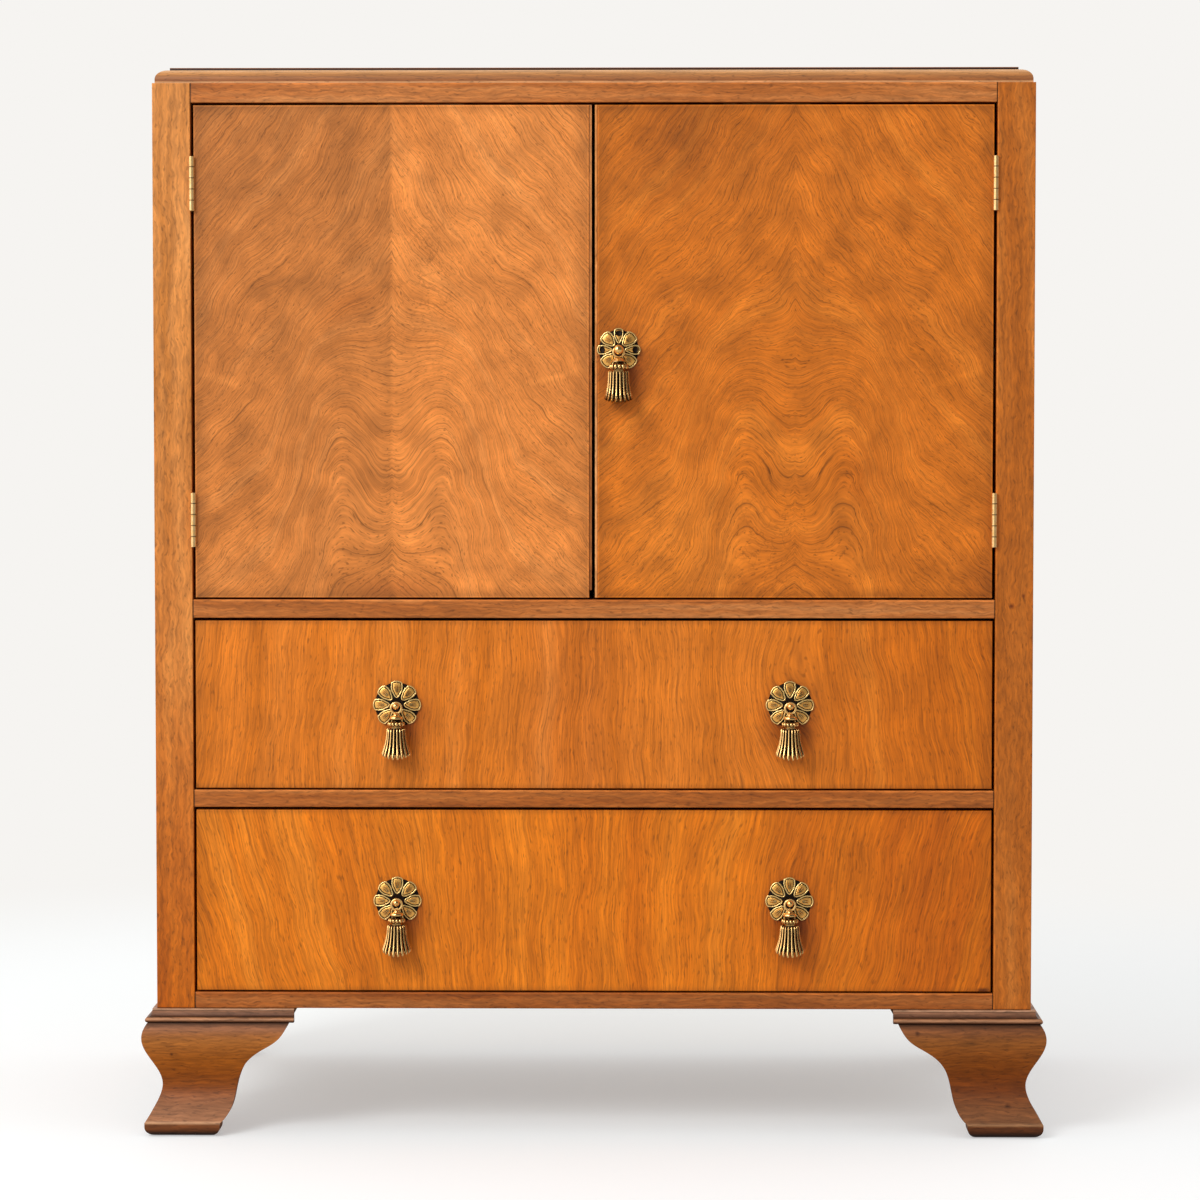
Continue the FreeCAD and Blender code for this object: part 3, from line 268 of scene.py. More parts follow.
def doorFinish(name, door):
    lo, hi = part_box(door["panel"])
    width, height = (hi.x - lo.x) / mm, (hi.z - lo.z) / mm
    finish, tree = newFinish(name)
    centred = inMillimetres(tree, ((lo.x + hi.x) / 2, 0, hi.z))  # seam at 0, top at 0, downwards is negative
    folded = addNode(tree, "ShaderNodeVectorMath", {0: centred}, operation="ABSOLUTE")
    slow = swayed(tree, folded, door["swayMm"], (door["swayReach"], 0, door["swayReach"]))
    spread, reach = door["crinkle"]
    own = swayed(tree, centred, spread, (reach, 0, reach))  # here the two leaves aren't alike
    ownStep = addNode(tree, "ShaderNodeVectorMath", {0: own, 1: centred}, operation="SUBTRACT")
    bent = addNode(tree, "ShaderNodeVectorMath", {0: slow, 1: ownStep}, operation="ADD")
    parts = addNode(tree, "ShaderNodeSeparateXYZ", {"Vector": bent}).node.outputs
    fromSeam, fromTop = parts["X"], parts["Z"]
    slope = addNode(tree, "ShaderNodeMapRange", {
        "Value": fromTop, "From Min": 0.0, "From Max": height,
        "To Min": door["slopeTop"], "To Max": door["slopeLow"]})
    climb = addNode(tree, "ShaderNodeMath", {0: slope, 1: fromSeam}, operation="MULTIPLY")
    across = addNode(tree, "ShaderNodeMath", {0: fromTop, 1: climb}, operation="SUBTRACT")
    for (x, down), (wide, tall), rise in door["mounds"]:
        bulge = mound(tree, bent, (x, 0, down), (wide, endless, tall), rise)
        across = addNode(tree, "ShaderNodeMath", {0: across, 1: bulge}, operation="ADD")
    along = addNode(tree, "ShaderNodeMath", {
        0: fromTop, 1: door["fall"], 2: fromSeam}, operation="MULTIPLY_ADD")
    lay = addNode(tree, "ShaderNodeCombineXYZ", {"X": across, "Y": along, "Z": door["seed"]})
    band, shades, fibre = grainLines(tree, lay, door)

    # each leaf takes the light its own way, with soft patches where the figure curls
    plain = addNode(tree, "ShaderNodeSeparateXYZ", {"Vector": centred}).node.outputs
    left, right = [addNode(tree, "ShaderNodeMapRange", {
        "Value": plain["Z"], "From Min": 0.0, "From Max": -height, "To Min": top, "To Max": low})
        for top, low in door["leaves"]]
    side = addNode(tree, "ShaderNodeMapRange", {
        "Value": plain["X"], "From Min": -door["seamMm"], "From Max": door["seamMm"]})
    shades.append(addNode(tree, "ShaderNodeMix", {0: side, 2: left, 3: right}, data_type="FLOAT"))
    shades.append(blotched(tree, own, door))

    # burr: short curled strokes in one soft patch beside the seam
    curl = addNode(tree, "ShaderNodeTexNoise", {
        "Vector": own, "Scale": 1 / door["burrMm"], "Detail": 2.0}, out="Fac")
    stroke = addNode(tree, "ShaderNodeMapRange", {
        "Value": farFrom(tree, curl, door["burrAt"]), "From Min": 0.0, "From Max": door["burrLine"],
        "To Min": door["burrTone"], "To Max": 1.0}, interpolation_type="SMOOTHSTEP")
    (x, z), (wide, tall) = door["burr"], door["burrSize"]
    patch = mound(tree, centred, (x, 0, z), (wide, endless, tall), 1.0)
    shades.append(addNode(tree, "ShaderNodeMix", {0: patch, 2: 1.0, 3: stroke}, data_type="FLOAT"))
    colour = addNode(tree, "ShaderNodeValToRGB", {"Fac": band}, stops=door["tones"])
    colour = stained(tree, colour, own, door["stains"])

    # grime along the edges, and a pale arris: painted highlight with some rubbed wear
    (sideIn, sideLeft), (topIn, topLeft), (footIn, footLeft) = [
        door[edge] for edge in ("grimeSide", "grimeTop", "grimeFoot")]
    shades += grimyEdges(tree, centred, (
        ("X", width / 2, -sideIn, sideLeft), ("Z", 0, topIn, topLeft), ("Z", height, -footIn, footLeft)))
    inset, (thin, thick), (pale, paler) = door["arrisIn"], door["arrisHalf"], door["arrisHighlight"]
    shades += ruled(tree, centred, (
        ("X", width / 2 - inset, thin, pale), ("Z", inset, thick, paler), ("Z", height - inset, thick, pale)))
    polishedWood(tree, colour, shades, fibre, door)
    return finish


# straight walnut veneer of the drawers and sides: the grain stands upright in fine wavering lines,
# over broad bands of lighter and darker wood

uprightGrain = {
    "band": (30, 800), "streak": (3.6, 120), "fibre": (1.5, 30), "pore": (1.4, 8),
    "lineStep": 9, "lineTone": 0.74, "streakTone": 0.13, "fibreTone": 0.28, "poreTone": 0.62,
    **frenchPolish, "rough": (0.38, 0.48), "axis": "X", "fan": 0.0,
    "swayMm": 110, "swayReach": 30, "crinkleMm": 14, "crinkleReach": 2.5,
    "blotchMm": 45, "blotchDetail": 3.0, "blotch": (0.90, 1.10),
    "grimeAndShade": 0.78, "grimeIn": (16, 6),  # what is left of the colour at the edges, how far in from them
}
# painted shadow round each pull, reaching further below and to the right
pullShadow = [((side, -13), (38, 50), 0, (0.42, 0.32, 0.22)) for side in (-178, 186)]
upperDrawer = {
    **uprightGrain, "panel": "upper_drawer_front", "seed": 4.1, "fan": 0.0004,
    "tones": ((0.30, "#d0700f"), (0.46, "#da7819"), (0.54, "#de7b1d"), (0.70, "#e6862c")),
    "stains": (
        # the second darkens the right end and deepens its colour: painted shade, away from the lamp
        ((-15, 0), (85, 300), 0, (0.90, 0.86, 1.0)), ((330, 0), (190, 500), 0, (0.86, 0.76, 0.18)),
        ((-190, 20), (70, 200), 0, (1.05, 1.06, 1.0)), *pullShadow),
    "mounds": (((165, 30), (55, 130), 26),),
}
lowerDrawer = {
    **uprightGrain, "panel": "lower_drawer_front", "seed": 9.3, "fan": -0.0008,
    "tones": ((0.30, "#d36f05"), (0.46, "#de780c"), (0.54, "#e27c0e"), (0.70, "#ea861c")),
    "stains": (  # the first darkens the right end and deepens its colour, painted shade away from the lamp; the last is a chipped corner
        ((330, 0), (200, 500), 0, (0.77, 0.64, 0.12)), ((190, -20), (30, 240), 0, (0.88, 0.82, 0.74)),
        ((40, 0), (120, 300), 0, (1.0, 0.97, 0.8)), *pullShadow,
        ((361, -83), (9, 3.5), 0, (0.25, 0.2, 0.2))),
    "mounds": (((70, 20), (80, 160), 14),),
}
sideVeneer = {
    **uprightGrain, "panel": "left_side", "seed": 12.9, "axis": "Y", "band": (34, 1000), "grimeAndShade": 0,
    "tones": ((0.28, "#ad6424"), (0.44, "#c27431"), (0.54, "#cc7f3a"), (0.72, "#dc944e")),
    "stains": (), "mounds": (((40, 0), (110, 420), 60),),
}


def uprightFinish(name, board):
    lo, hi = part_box(board["panel"])
    finish, tree = newFinish(name)
    centred = inMillimetres(tree, (lo + hi) / 2)
    slow = swayed(tree, centred, board["swayMm"], (board["swayReach"], board["swayReach"], 0))
    bent = swayed(tree, slow, board["crinkleMm"], (board["crinkleReach"], board["crinkleReach"], 0))
    parts = addNode(tree, "ShaderNodeSeparateXYZ", {"Vector": bent}).node.outputs
    spread = addNode(tree, "ShaderNodeMath", {
        0: parts["Z"], 1: board["fan"], 2: 1.0}, operation="MULTIPLY_ADD")
    across = addNode(tree, "ShaderNodeMath", {0: parts[board["axis"]], 1: spread}, operation="MULTIPLY")
    for (over, up), (wide, tall), rise in board["mounds"]:
        at, size = (over, 0, up), (wide, endless, tall)
        if board["axis"] == "Y":
            at, size = (0, over, up), (endless, wide, tall)
        bulge = mound(tree, bent, at, size, rise)
        across = addNode(tree, "ShaderNodeMath", {0: across, 1: bulge}, operation="ADD")
    lay = addNode(tree, "ShaderNodeCombineXYZ", {"X": across, "Y": parts["Z"], "Z": board["seed"]})
    band, shades, fibre = grainLines(tree, lay, board)
    shades.append(blotched(tree, bent, board))
    colour = addNode(tree, "ShaderNodeValToRGB", {"Fac": band}, stops=board["tones"])
    colour = stained(tree, colour, bent, board["stains"])
    if board["grimeAndShade"]:
        half = (hi - lo) / 2 / mm
        sideIn, topIn = board["grimeIn"]
        shades += grimyEdges(tree, centred, (
            ("X", half.x, -sideIn, board["grimeAndShade"]), ("Z", half.z, -topIn, board["grimeAndShade"])))
    polishedWood(tree, colour, shades, fibre, board)
    return finish


# solid timber: the grain runs along one axis of the board, and along two where a foot turns a corner

solidWood = {
    "band": (16, 300), "streak": (4.0, 90), "fibre": (1.8, 14), "pore": (1.6, 6),
    "lineStep": 9, "lineTone": 0.80, "streakTone": 0.12, "fibreTone": 0.30, "poreTone": 0.64,
    **frenchPolish, "rough": (0.40, 0.52),
    "swayMm": 90, "swayReach": 10, "crinkleMm": 12, "crinkleReach": 4,
    "stains": (), "marks": (), "levels": None,
    "corner": 0.83,  # share of X that goes with Y where the grain turns a corner
    "bandTone": 0.12,  # how far the bands differ where the colour goes by height
    "grimeAndShade": 0,  # size in millimetres of the hollows darkened with painted shade
    "hollowShadeSpan": (0.35, 0.9), "hollowShadeTone": 0.3,
}
# the stiles are one walnut in a lit and a shaded copy: the left one's paler tones are painted light from the
# lamp on the left; it grows darker and deeper in colour towards the bottom
leftStileWalnutLit = {
    **solidWood, "grain": "Z", "seed": 1.3, "stains": (((-389, 60), (260, 760), 0, (0.82, 0.50, 0.02)),),
    "tones": ((0.30, "#c0762f"), (0.46, "#d0853f"), (0.54, "#d98d46"), (0.70, "#e59e58"))}
# darker tones: painted shade, away from the lamp on the left
rightStileWalnutShaded = {
    **solidWood, "grain": "Z", "seed": 3.1, "marks": (("X", 372.2, 0.8, 1.25),),
    "stains": (  # two knots
        ((388, 494), (4.5, 4), 0, (0.3, 0.2, 0.2)), ((398, 504), (2, 3.5), 0, (0.4, 0.3, 0.3))),
    "tones": ((0.30, "#aa5a10"), (0.46, "#b86418"), (0.54, "#be691c"), (0.70, "#c9762a"))}
railWalnut = {
    **solidWood, "grain": "X", "seed": 5.8, "band": (9, 420), "streak": (2.6, 60), "streakTone": 0.16,
    # the bottom and drawer rails are darker and deeper in colour
    "stains": (((0, 126), (900, 130), 0, (0.74, 0.66, 0.52)), ((0, 315), (900, 120), 0, (0.9, 0.82, 0.60))),
    "marks": (  # joints with the stiles, then the upper arrises, pale: painted highlights with some rubbed wear
        ("X", 371.1, 0.8, 0.25), ("Z", 133.3, 0.9, 1.45), ("Z", 322.3, 0.9, 1.4), ("Z", 499.2, 0.9, 1.4),
        ("Z", 975.2, 0.9, 1.3)),
    "tones": ((0.30, "#a2581f"), (0.46, "#b36629"), (0.54, "#ba6d30"), (0.70, "#c67d41"))}
topWalnut = {
    **solidWood, "grain": "X", "seed": 8.8, "gloss": 0.5,
    "band": (26, 520), "streak": (4.5, 160), "fibre": (2.0, 45),
    "levels": (976, 991, (  # the moulded edge from its foot up to the step and the flat: painted highlights on the arris at its foot and on the upper roll, painted shade on the riser of the step
        (0.0, "#dca878"), (0.09, "#d0965e"), (0.14, "#9a5a28"), (0.40, "#aa6a32"), (0.62, "#bf834a"),
        (0.83, "#d8a470"), (0.86, "#3a1a0a"), (0.96, "#3a1a0a"), (0.99, "#b07038")))}
footWalnut = {
    **solidWood, "grain": "XY", "seed": 6.2, "band": (9, 190), "streak": (3.0, 40), "grimeAndShade": 9,
    "stains": (  # three knots, then painted shade that makes the right foot the darker one, away from the lamp
        ((-391, 77), (3, 2.5), 0, (0.3, 0.25, 0.2)), ((299, 98), (3, 4), 0, (0.4, 0.35, 0.3)),
        ((384, 30), (4.5, 4), 0, (0.5, 0.45, 0.4)),
        ((380, 40), (300, 500), 0, (0.72, 0.66, 0.55))),
    "levels": (0, 106.5, (  # by height, in painted light and shade: the dark pad, a painted highlight on its edge, the instep greyish with painted sheen, the ankle in painted shade, the knee, painted shade under the moulding
        (0.0, "#5e3215"), (0.10, "#7e4722"), (0.118, "#c0906a"), (0.14, "#9e6842"), (0.27, "#955b31"),
        (0.40, "#8c4812"), (0.52, "#984e08"), (0.68, "#b26314"), (0.84, "#ae6a2c"), (0.95, "#945a32"),
        (0.99, "#5c361c")))}
mouldingWalnut = {
    **solidWood, "grain": "XY", "seed": 3.6, "band": (6, 240), "grimeAndShade": 5,
    "levels": (106.5, 119, (  # the bead with a painted highlight and painted shade under it, painted shade in the crease above it, the hollow darker towards its foot and the fillet with a painted highlight
        (0.0, "#2c170b"), (0.10, "#5c341c"), (0.28, "#b98560"), (0.37, "#9a6742"), (0.42, "#3c2314"),
        (0.55, "#6c432b"), (0.80, "#97684b"), (0.86, "#6a4530"), (0.91, "#c99c7c"), (1.0, "#b08262")))}
leftLippingWalnut = {
    **solidWood, "grain": "Z", "seed": 2.2, "band": (7, 420),
    "tones": ((0.30, "#9a5a26"), (0.46, "#b06c33"), (0.54, "#bb763b"), (0.70, "#cb884c"))}
# paler than the left lipping: painted highlight where its rounded edge catches the light
rightLippingPaintedHighlight = {
    **solidWood, "grain": "Z", "seed": 2.9, "band": (7, 420),
    "tones": ((0.30, "#b56a28"), (0.46, "#cc7f3a"), (0.54, "#d88c48"), (0.70, "#e6a264"))}
liningOak = {
    **solidWood, "grain": "Y", "seed": 7.9, "band": (11, 420), "poreTone": 0.62, "rough": (0.5, 0.62),
    "tones": ((0.28, "#b08a58"), (0.44, "#c5a06c"), (0.54, "#d0ac7a"), (0.72, "#dfc298"))}
birchPly = {
    **solidWood, "grain": "Z", "seed": 4.7, "band": (34, 420), "poreTone": 0.9, "rough": (0.5, 0.62),
    "tones": ((0.28, "#bd9a6c"), (0.44, "#cdac80"), (0.54, "#d7b98d"), (0.72, "#e5cca6"))}
framePine = {
    **solidWood, "grain": "XY", "seed": 9.9, "band": (10, 420), "poreTone": 0.92, "rough": (0.5, 0.65),
    "tones": ((0.28, "#c08f4e"), (0.44, "#d3a767"), (0.54, "#deb67b"), (0.72, "#eacd9e"))}


def solidFinish(name, wood):
    finish, tree = newFinish(name)
    placed = inMillimetres(tree, (0, 0, 0))
    slow = swayed(tree, placed, wood["swayMm"], (wood["swayReach"],) * 3)
    bent = swayed(tree, slow, wood["crinkleMm"], (wood["crinkleReach"],) * 3)
    parts = addNode(tree, "ShaderNodeSeparateXYZ", {"Vector": bent}).node.outputs
    ways = []
    for axes in ([axis for axis in "XYZ" if axis not in wood["grain"]], wood["grain"]):
        way = parts[axes[0]]
        if len(axes) == 2:
            way = addNode(tree, "ShaderNodeMath", {
                0: way, 1: wood["corner"], 2: parts[axes[1]]}, operation="MULTIPLY_ADD")
        ways.append(way)
    lay = addNode(tree, "ShaderNodeCombineXYZ", {"X": ways[0], "Y": ways[1], "Z": wood["seed"]})
    band, shades, fibre = grainLines(tree, lay, wood)
    if wood["levels"]:
        # colour by height: the wood's own tone with painted highlights and painted shade on the moulded parts
        low, high, stops = wood["levels"]
        height = addNode(tree, "ShaderNodeMapRange", {
            "Value": addNode(tree, "ShaderNodeSeparateXYZ", {"Vector": placed}, out="Z"),
            "From Min": low, "From Max": high})
        colour = addNode(tree, "ShaderNodeValToRGB", {"Fac": height}, stops=stops)
        shades.append(addNode(tree, "ShaderNodeMapRange", {
            "Value": band, **noiseSpan, "To Min": 1 - wood["bandTone"], "To Max": 1 + wood["bandTone"]}))
    else:
        colour = addNode(tree, "ShaderNodeValToRGB", {"Fac": band}, stops=wood["tones"])
    shades += ruled(tree, placed, wood["marks"])
    if wood["grimeAndShade"]:
        # painted shade: the colour darkens in the hollows, found by ambient occlusion
        hollow = addNode(tree, "ShaderNodeAmbientOcclusion", {
            "Distance": wood["grimeAndShade"] * mm}, out="AO", samples=8)
        shades.append(addNode(tree, "ShaderNodeMapRange", {
            "Value": hollow, "From Min": wood["hollowShadeSpan"][0], "From Max": wood["hollowShadeSpan"][1],
            "To Min": wood["hollowShadeTone"], "To Max": 1.0}))
    polishedWood(tree, stained(tree, colour, bent, wood["stains"]), shades, fibre, wood)
    return finish


# brass: polished and lacquered on the hinges, cast and aged on the pulls, where the hollows keep
# their dark patina and the high places are rubbed pale

hingeMiddles = (573.8, 883.7)
knuckleJoints = (-15.3, -5.1, 5.1, 15.3)  # from the middle of a hinge
hingeBrass = {
    "bright": "#ffdca2", "worn": "#e2ac58", "rough": (0.20, 0.30), "metal": 0.6, "brushMm": (0.5, 4),
    "wearAt": (0.3, 0.65), "relief": 0.08, "deepMm": 0.1,
    "marks": [("Z", middle + joint, 0.45, 0.2) for middle in hingeMiddles for joint in knuckleJoints],
}
castMetal = {
    "recess": "#1c0d04", "rough": (0.28, 0.45), "hollowMm": 2.0, "metal": 0.7,
    "gritMm": 0.6, "gritShare": 0.24,
    "wearAt": (0.55, 0.82, 1.0),  # how open recesses, middle places and heights are
    "polishAt": (0.4, 1.1),  # how open the dullest and the brightest places are
    "relief": 0.12, "deepMm": 0.15,
}
rosetteBrass = {**castMetal, "bright": "#ffc468", "mid": "#cc8020"}
tasselBrass = {
    **castMetal, "bright": "#facd84", "mid": "#543510",
    "rough": (0.18, 0.36), "hollowMm": 3.0, "metal": 0.95}
rubbedAndHighlitBrass = {
    **castMetal, "bright": "#ffdc90", "mid": "#ffc05c", "recess": "#4a2808",
    "rough": (0.2, 0.3), "hollowMm": 1.2}
knobBrass = {**castMetal, "bright": "#ffd080", "mid": "#b87a24", "rough": (0.12, 0.22), "metal": 0.9}
patinaAndShadeBrass = {**castMetal, "bright": "#1c1006", "mid": "#120a04", "recess": "#0a0502", "rough": (0.6, 0.75)}


def hingeFinish():
    finish, tree = newFinish("brass, polished")
    placed = inMillimetres(tree, (0, 0, 0))
    over, run = hingeBrass["brushMm"]
    lay = addNode(tree, "ShaderNodeVectorMath", {
        0: placed, 1: (1 / over, 1 / over, 1 / run)}, operation="MULTIPLY")
    brush = addNode(tree, "ShaderNodeTexNoise", {"Vector": lay, "Scale": 1.0, "Detail": 3.0}, out="Fac")
    colour = addNode(tree, "ShaderNodeValToRGB", {"Fac": brush}, stops=tuple(zip(
        hingeBrass["wearAt"], (hingeBrass["worn"], hingeBrass["bright"]))))
    colour = addNode(tree, "ShaderNodeVectorMath", {
        0: colour, "Scale": times(tree, ruled(tree, placed, hingeBrass["marks"]))}, operation="SCALE")
    rough = addNode(tree, "ShaderNodeMapRange", {
        "Value": brush, **noiseSpan, "To Min": hingeBrass["rough"][1], "To Max": hingeBrass["rough"][0]})
    relief = addNode(tree, "ShaderNodeBump", {
        "Height": brush, "Strength": hingeBrass["relief"],
        "Distance": hingeBrass["deepMm"] * mm}, out="Normal")
    closeFinish(tree, {
        "Base Color": colour, "Metallic": hingeBrass["metal"], "Roughness": rough, "Normal": relief})
    return finish


def castFinish(name, brass):
    finish, tree = newFinish(name)
    placed = inMillimetres(tree, (0, 0, 0))
    grit = addNode(tree, "ShaderNodeTexNoise", {
        "Vector": placed, "Scale": 1 / brass["gritMm"], "Detail": 2.0}, out="Fac")
    hollow = addNode(tree, "ShaderNodeAmbientOcclusion", {
        "Distance": brass["hollowMm"] * mm}, out="AO", samples=8, only_local=True)
    worn = addNode(tree, "ShaderNodeMath", {
        0: grit, 1: brass["gritShare"], 2: hollow}, operation="MULTIPLY_ADD")
    colour = addNode(tree, "ShaderNodeValToRGB", {"Fac": worn}, stops=tuple(zip(
        brass["wearAt"], (brass["recess"], brass["mid"], brass["bright"]))))
    rough = addNode(tree, "ShaderNodeMapRange", {
        "Value": worn, "From Min": brass["polishAt"][0], "From Max": brass["polishAt"][1],
        "To Min": brass["rough"][1], "To Max": brass["rough"][0]})
    relief = addNode(tree, "ShaderNodeBump", {
        "Height": grit, "Strength": brass["relief"], "Distance": brass["deepMm"] * mm}, out="Normal")
    closeFinish(tree, {
        "Base Color": colour, "Metallic": brass["metal"], "Roughness": rough, "Normal": relief})
    return finish


finishes = {
    "left_door_panel": doorFinish("walnut veneer, figured, left door", leftDoor),
    "right_door_panel": doorFinish("walnut veneer, figured, right door", rightDoor),
    "upper_drawer_front": uprightFinish("walnut veneer, upright, upper drawer", upperDrawer),
    "lower_drawer_front": uprightFinish("walnut veneer, upright, lower drawer", lowerDrawer),
}
sharedFinishes = (
    (uprightFinish("walnut veneer, upright, sides", sideVeneer), ("left_side", "right_side")),
    (solidFinish("walnut, solid, left stile", leftStileWalnutLit), ("left_stile",)),
    (solidFinish("walnut, solid, right stile", rightStileWalnutShaded), ("right_stile",)),
    (solidFinish("walnut, solid, rails", railWalnut), (
        "top_rail", "cupboard_rail", "drawer_rail", "bottom_rail")),
    (solidFinish("walnut, solid, top", topWalnut), ("top_panel",)),
    (solidFinish("walnut, solid, feet", footWalnut), (
        "front_left_foot", "front_right_foot", "rear_left_foot", "rear_right_foot")),
    (solidFinish("walnut, solid, mouldings", mouldingWalnut), ("foot_mouldings",)),
    (solidFinish("walnut, solid, left lipping", leftLippingWalnut), ("left_door_lipping",)),
    (solidFinish("walnut, solid, right lipping", rightLippingPaintedHighlight), ("right_door_lipping",)),
    (solidFinish("oak, planed, running back", liningOak), (
        "upper_drawer_left_side", "upper_drawer_right_side",
        "lower_drawer_left_side", "lower_drawer_right_side", "shelf_battens")),
    (solidFinish("oak, planed, running across", {**liningOak, "grain": "X"}), (
        "upper_drawer_back", "lower_drawer_back", "shelf")),
    (solidFinish("birch plywood, sanded, upright", birchPly), ("back_panel",)),
    (solidFinish("birch plywood, sanded, lying", {**birchPly, "grain": "X"}), (
        "cupboard_floor", "upper_drawer_bottom", "lower_drawer_bottom")),
    (hingeFinish(), (
        "stile_hinge_leaves", "hinge_pins", "carcass_hinge_screws", "left_door_hinge_leaves",
        "left_door_hinge_screws", "right_door_hinge_leaves", "right_door_hinge_screws",
        "left_door_bolt_plate", "left_door_bolt")),
)
castBrass = castFinish("brass, cast and aged", rosetteBrass)
paleBrass = castFinish("brass, cast, rubbed pale", tasselBrass)
# rubbed bright on the rims, ridges and ring, with a painted highlight in its paler colour
rimRubbedAndHighlitBrass = castFinish("brass, cast, rubbed bright and highlit", rubbedAndHighlitBrass)
ballBrass = castFinish("brass, turned knobs", knobBrass)
blackPatinaAndShadeBrass = castFinish("brass, black with patina and painted shade", patinaAndShadeBrass)  # patina in the grooves; painted shade on the plates, on the petal sides and between the strands
for finish, names in sharedFinishes:
    for name in names:
        finishes[name] = finish
pine = solidFinish("pine, planed", framePine)
for name, solid in nodes.items():
    if name not in finishes:
        finishes[name] = castBrass if "pull" in name or "tassel" in name else pine
    if "post" in name:
        finishes[name] = ballBrass
    solid.data.materials.clear()
    solid.data.materials.append(finishes[name])
print("finishes on the solids:", len(set(finishes.values())))


# hand tools for the pulls

def pick(kind, test):
    bpy.ops.mesh.select_mode(type={"verts": "VERT", "edges": "EDGE", "faces": "FACE"}[kind])
    bpy.ops.mesh.select_all(action="DESELECT")
    mesh = bmesh.from_edit_mesh(bpy.context.edit_object.data)
    for part in getattr(mesh, kind):
        if test(part):
            part.select_set(True)
    mesh.select_flush_mode()
    bmesh.update_edit_mesh(bpy.context.edit_object.data)


def letGo():
    bpy.ops.object.select_all(action="DESELECT")


def begin():
    bpy.ops.object.transform_apply(location=True, rotation=True, scale=True)
    bpy.ops.object.mode_set(mode="EDIT")
    bpy.ops.mesh.select_all(action="SELECT")
    return bpy.context.object


def ready():
    bpy.ops.mesh.select_all(action="SELECT")
    bpy.ops.mesh.normals_make_consistent(inside=False)
    bpy.ops.object.mode_set(mode="OBJECT")


def rounded(levels):
    smooth = bpy.context.object.modifiers.new("rounding", "SUBSURF")
    smooth.levels = smooth.render_levels = levels
    bpy.ops.object.modifier_apply(modifier="rounding")


def copiesRound(count):
    bpy.ops.mesh.select_all(action="SELECT")
    bpy.ops.mesh.spin(steps=count - 1, angle=math.tau * (count - 1) / count, dupli=True,
                      center=(0, 0, 0), axis=(0, 0, 1))


def drawn(steps, sides):
    # a circle drawn on through the steps: radius, distance from the axis, height
    letGo()
    radius, out, height = steps[0]
    bpy.ops.mesh.primitive_circle_add(
        vertices=sides, radius=radius * mm, location=(out * mm, 0, height * mm), fill_type="NOTHING")
    piece = begin()
    for before, step in zip(steps, steps[1:]):
        move = ((step[1] - before[1]) * mm, 0, (step[2] - before[2]) * mm)
        bpy.ops.mesh.extrude_region_move(TRANSFORM_OT_translate={"value": move})
        share = step[0] / before[0]
        bpy.ops.transform.resize(value=(share, share, 1), center_override=(step[1] * mm, 0, step[2] * mm))
    bpy.ops.mesh.edge_face_add()
    pick("verts", lambda vert: abs(vert.co.z - height * mm) < 0.001 * mm)
    bpy.ops.mesh.edge_face_add()
    ready()
    return piece


def joinAs(name, parts, finish):
    letGo()
    for part in parts:
        if not part.data.materials:
            part.data.materials.append(finish)
        part.select_set(True)
    bpy.context.view_layer.objects.active = parts[0]
    bpy.ops.object.join()
    piece = bpy.context.object
    piece.name = piece.data.name = name
    bpy.ops.object.shade_smooth_by_angle(angle=math.radians(40))
    return piece


def copyAt(piece, name, place):
    letGo()
    piece.select_set(True)
    bpy.context.view_layer.objects.active = piece
    bpy.ops.object.duplicate(linked=False)
    bpy.ops.transform.translate(value=place)
    bpy.ops.object.transform_apply(location=True, rotation=True, scale=True)
    copy = bpy.context.object
    copy.name = copy.data.name = name
    return copy


# rosettes: spoon petals with rounded rims, a groove inside the rim and a raised field with fan ridges,
# round a small boss; they are modelled lying down, face upwards, and stood up against the drawer or door

spoonPetal = {
    "count": 8, "from": 6.2, "to": 22.6, "half": 6.1, "turn": 0, "height": 2.6, "tilt": 8,
    "outline": (  # from and to along the petal, as shares of half its length, and what its width is times
        (0.55, 1.01, 1.33), (0.2, 0.55, 1.0), (-0.3, 0.2, 0.86), (-1.01, -0.3, 0.68)),
    "steps": (  # inset, rise, finish: 0 cast and aged, 1 black with patina and painted shade, 2 rubbed bright with painted highlight
        (0.25, 0.5, 2), (0.8, 0.1, 2), (0.2, -0.4, 2), (0.4, -0.3, 1), (0.4, 0.3, 1), (0.4, 0.3, 0)),
    "skirt": 1.2, "field": 0.5, "hole": None,
    "ridges": 3, "ridgeFrom": 5.2, "ridgeLength": 7.0, "ridgeFan": 10, "ridgeWide": 0.9, "ridgeTall": 1.5,
    "ridgeTop": (0.35, 0.86, 1),  # its upper face, as shares of its width and length
    "ridgeLoss": 0.6,  # share of its length that a ridge loses for each radian that it leans
}
widePetal = {
    **spoonPetal, "count": 4, "from": 5.2, "to": 20.7, "half": 6.6, "turn": 45,
    "ridgeLength": 6.0, "ridgeFan": 12}
piercedPetal = {
    **spoonPetal, "count": 4, "from": 5.6, "to": 20.4, "half": 4.9, "height": 3.1, "ridges": 0,
    "hole": (15.2, 2.9, 2.5),  # distance from the middle, half its width, half its length
    "holeRim": 0.6, "holeDeep": 0.5, "holeSkirt": 0.8,
}
drawerRosette = {
    "plate": 20.6, "slope": 6, "plateLevels": (0.05, 0.5, 1.3), "petals": (spoonPetal,),
    "boss": (  # radius, distance from the axis, height
        (8.2, 0, 2.5), (7.0, 0, 3.2), (6.4, 0, 3.9), (5.4, 0, 4.0), (4.6, 0, 3.5), (2.6, 0, 3.2)),
}
doorRosette = {**drawerRosette, "plate": 18.4, "petals": (widePetal, piercedPetal)}


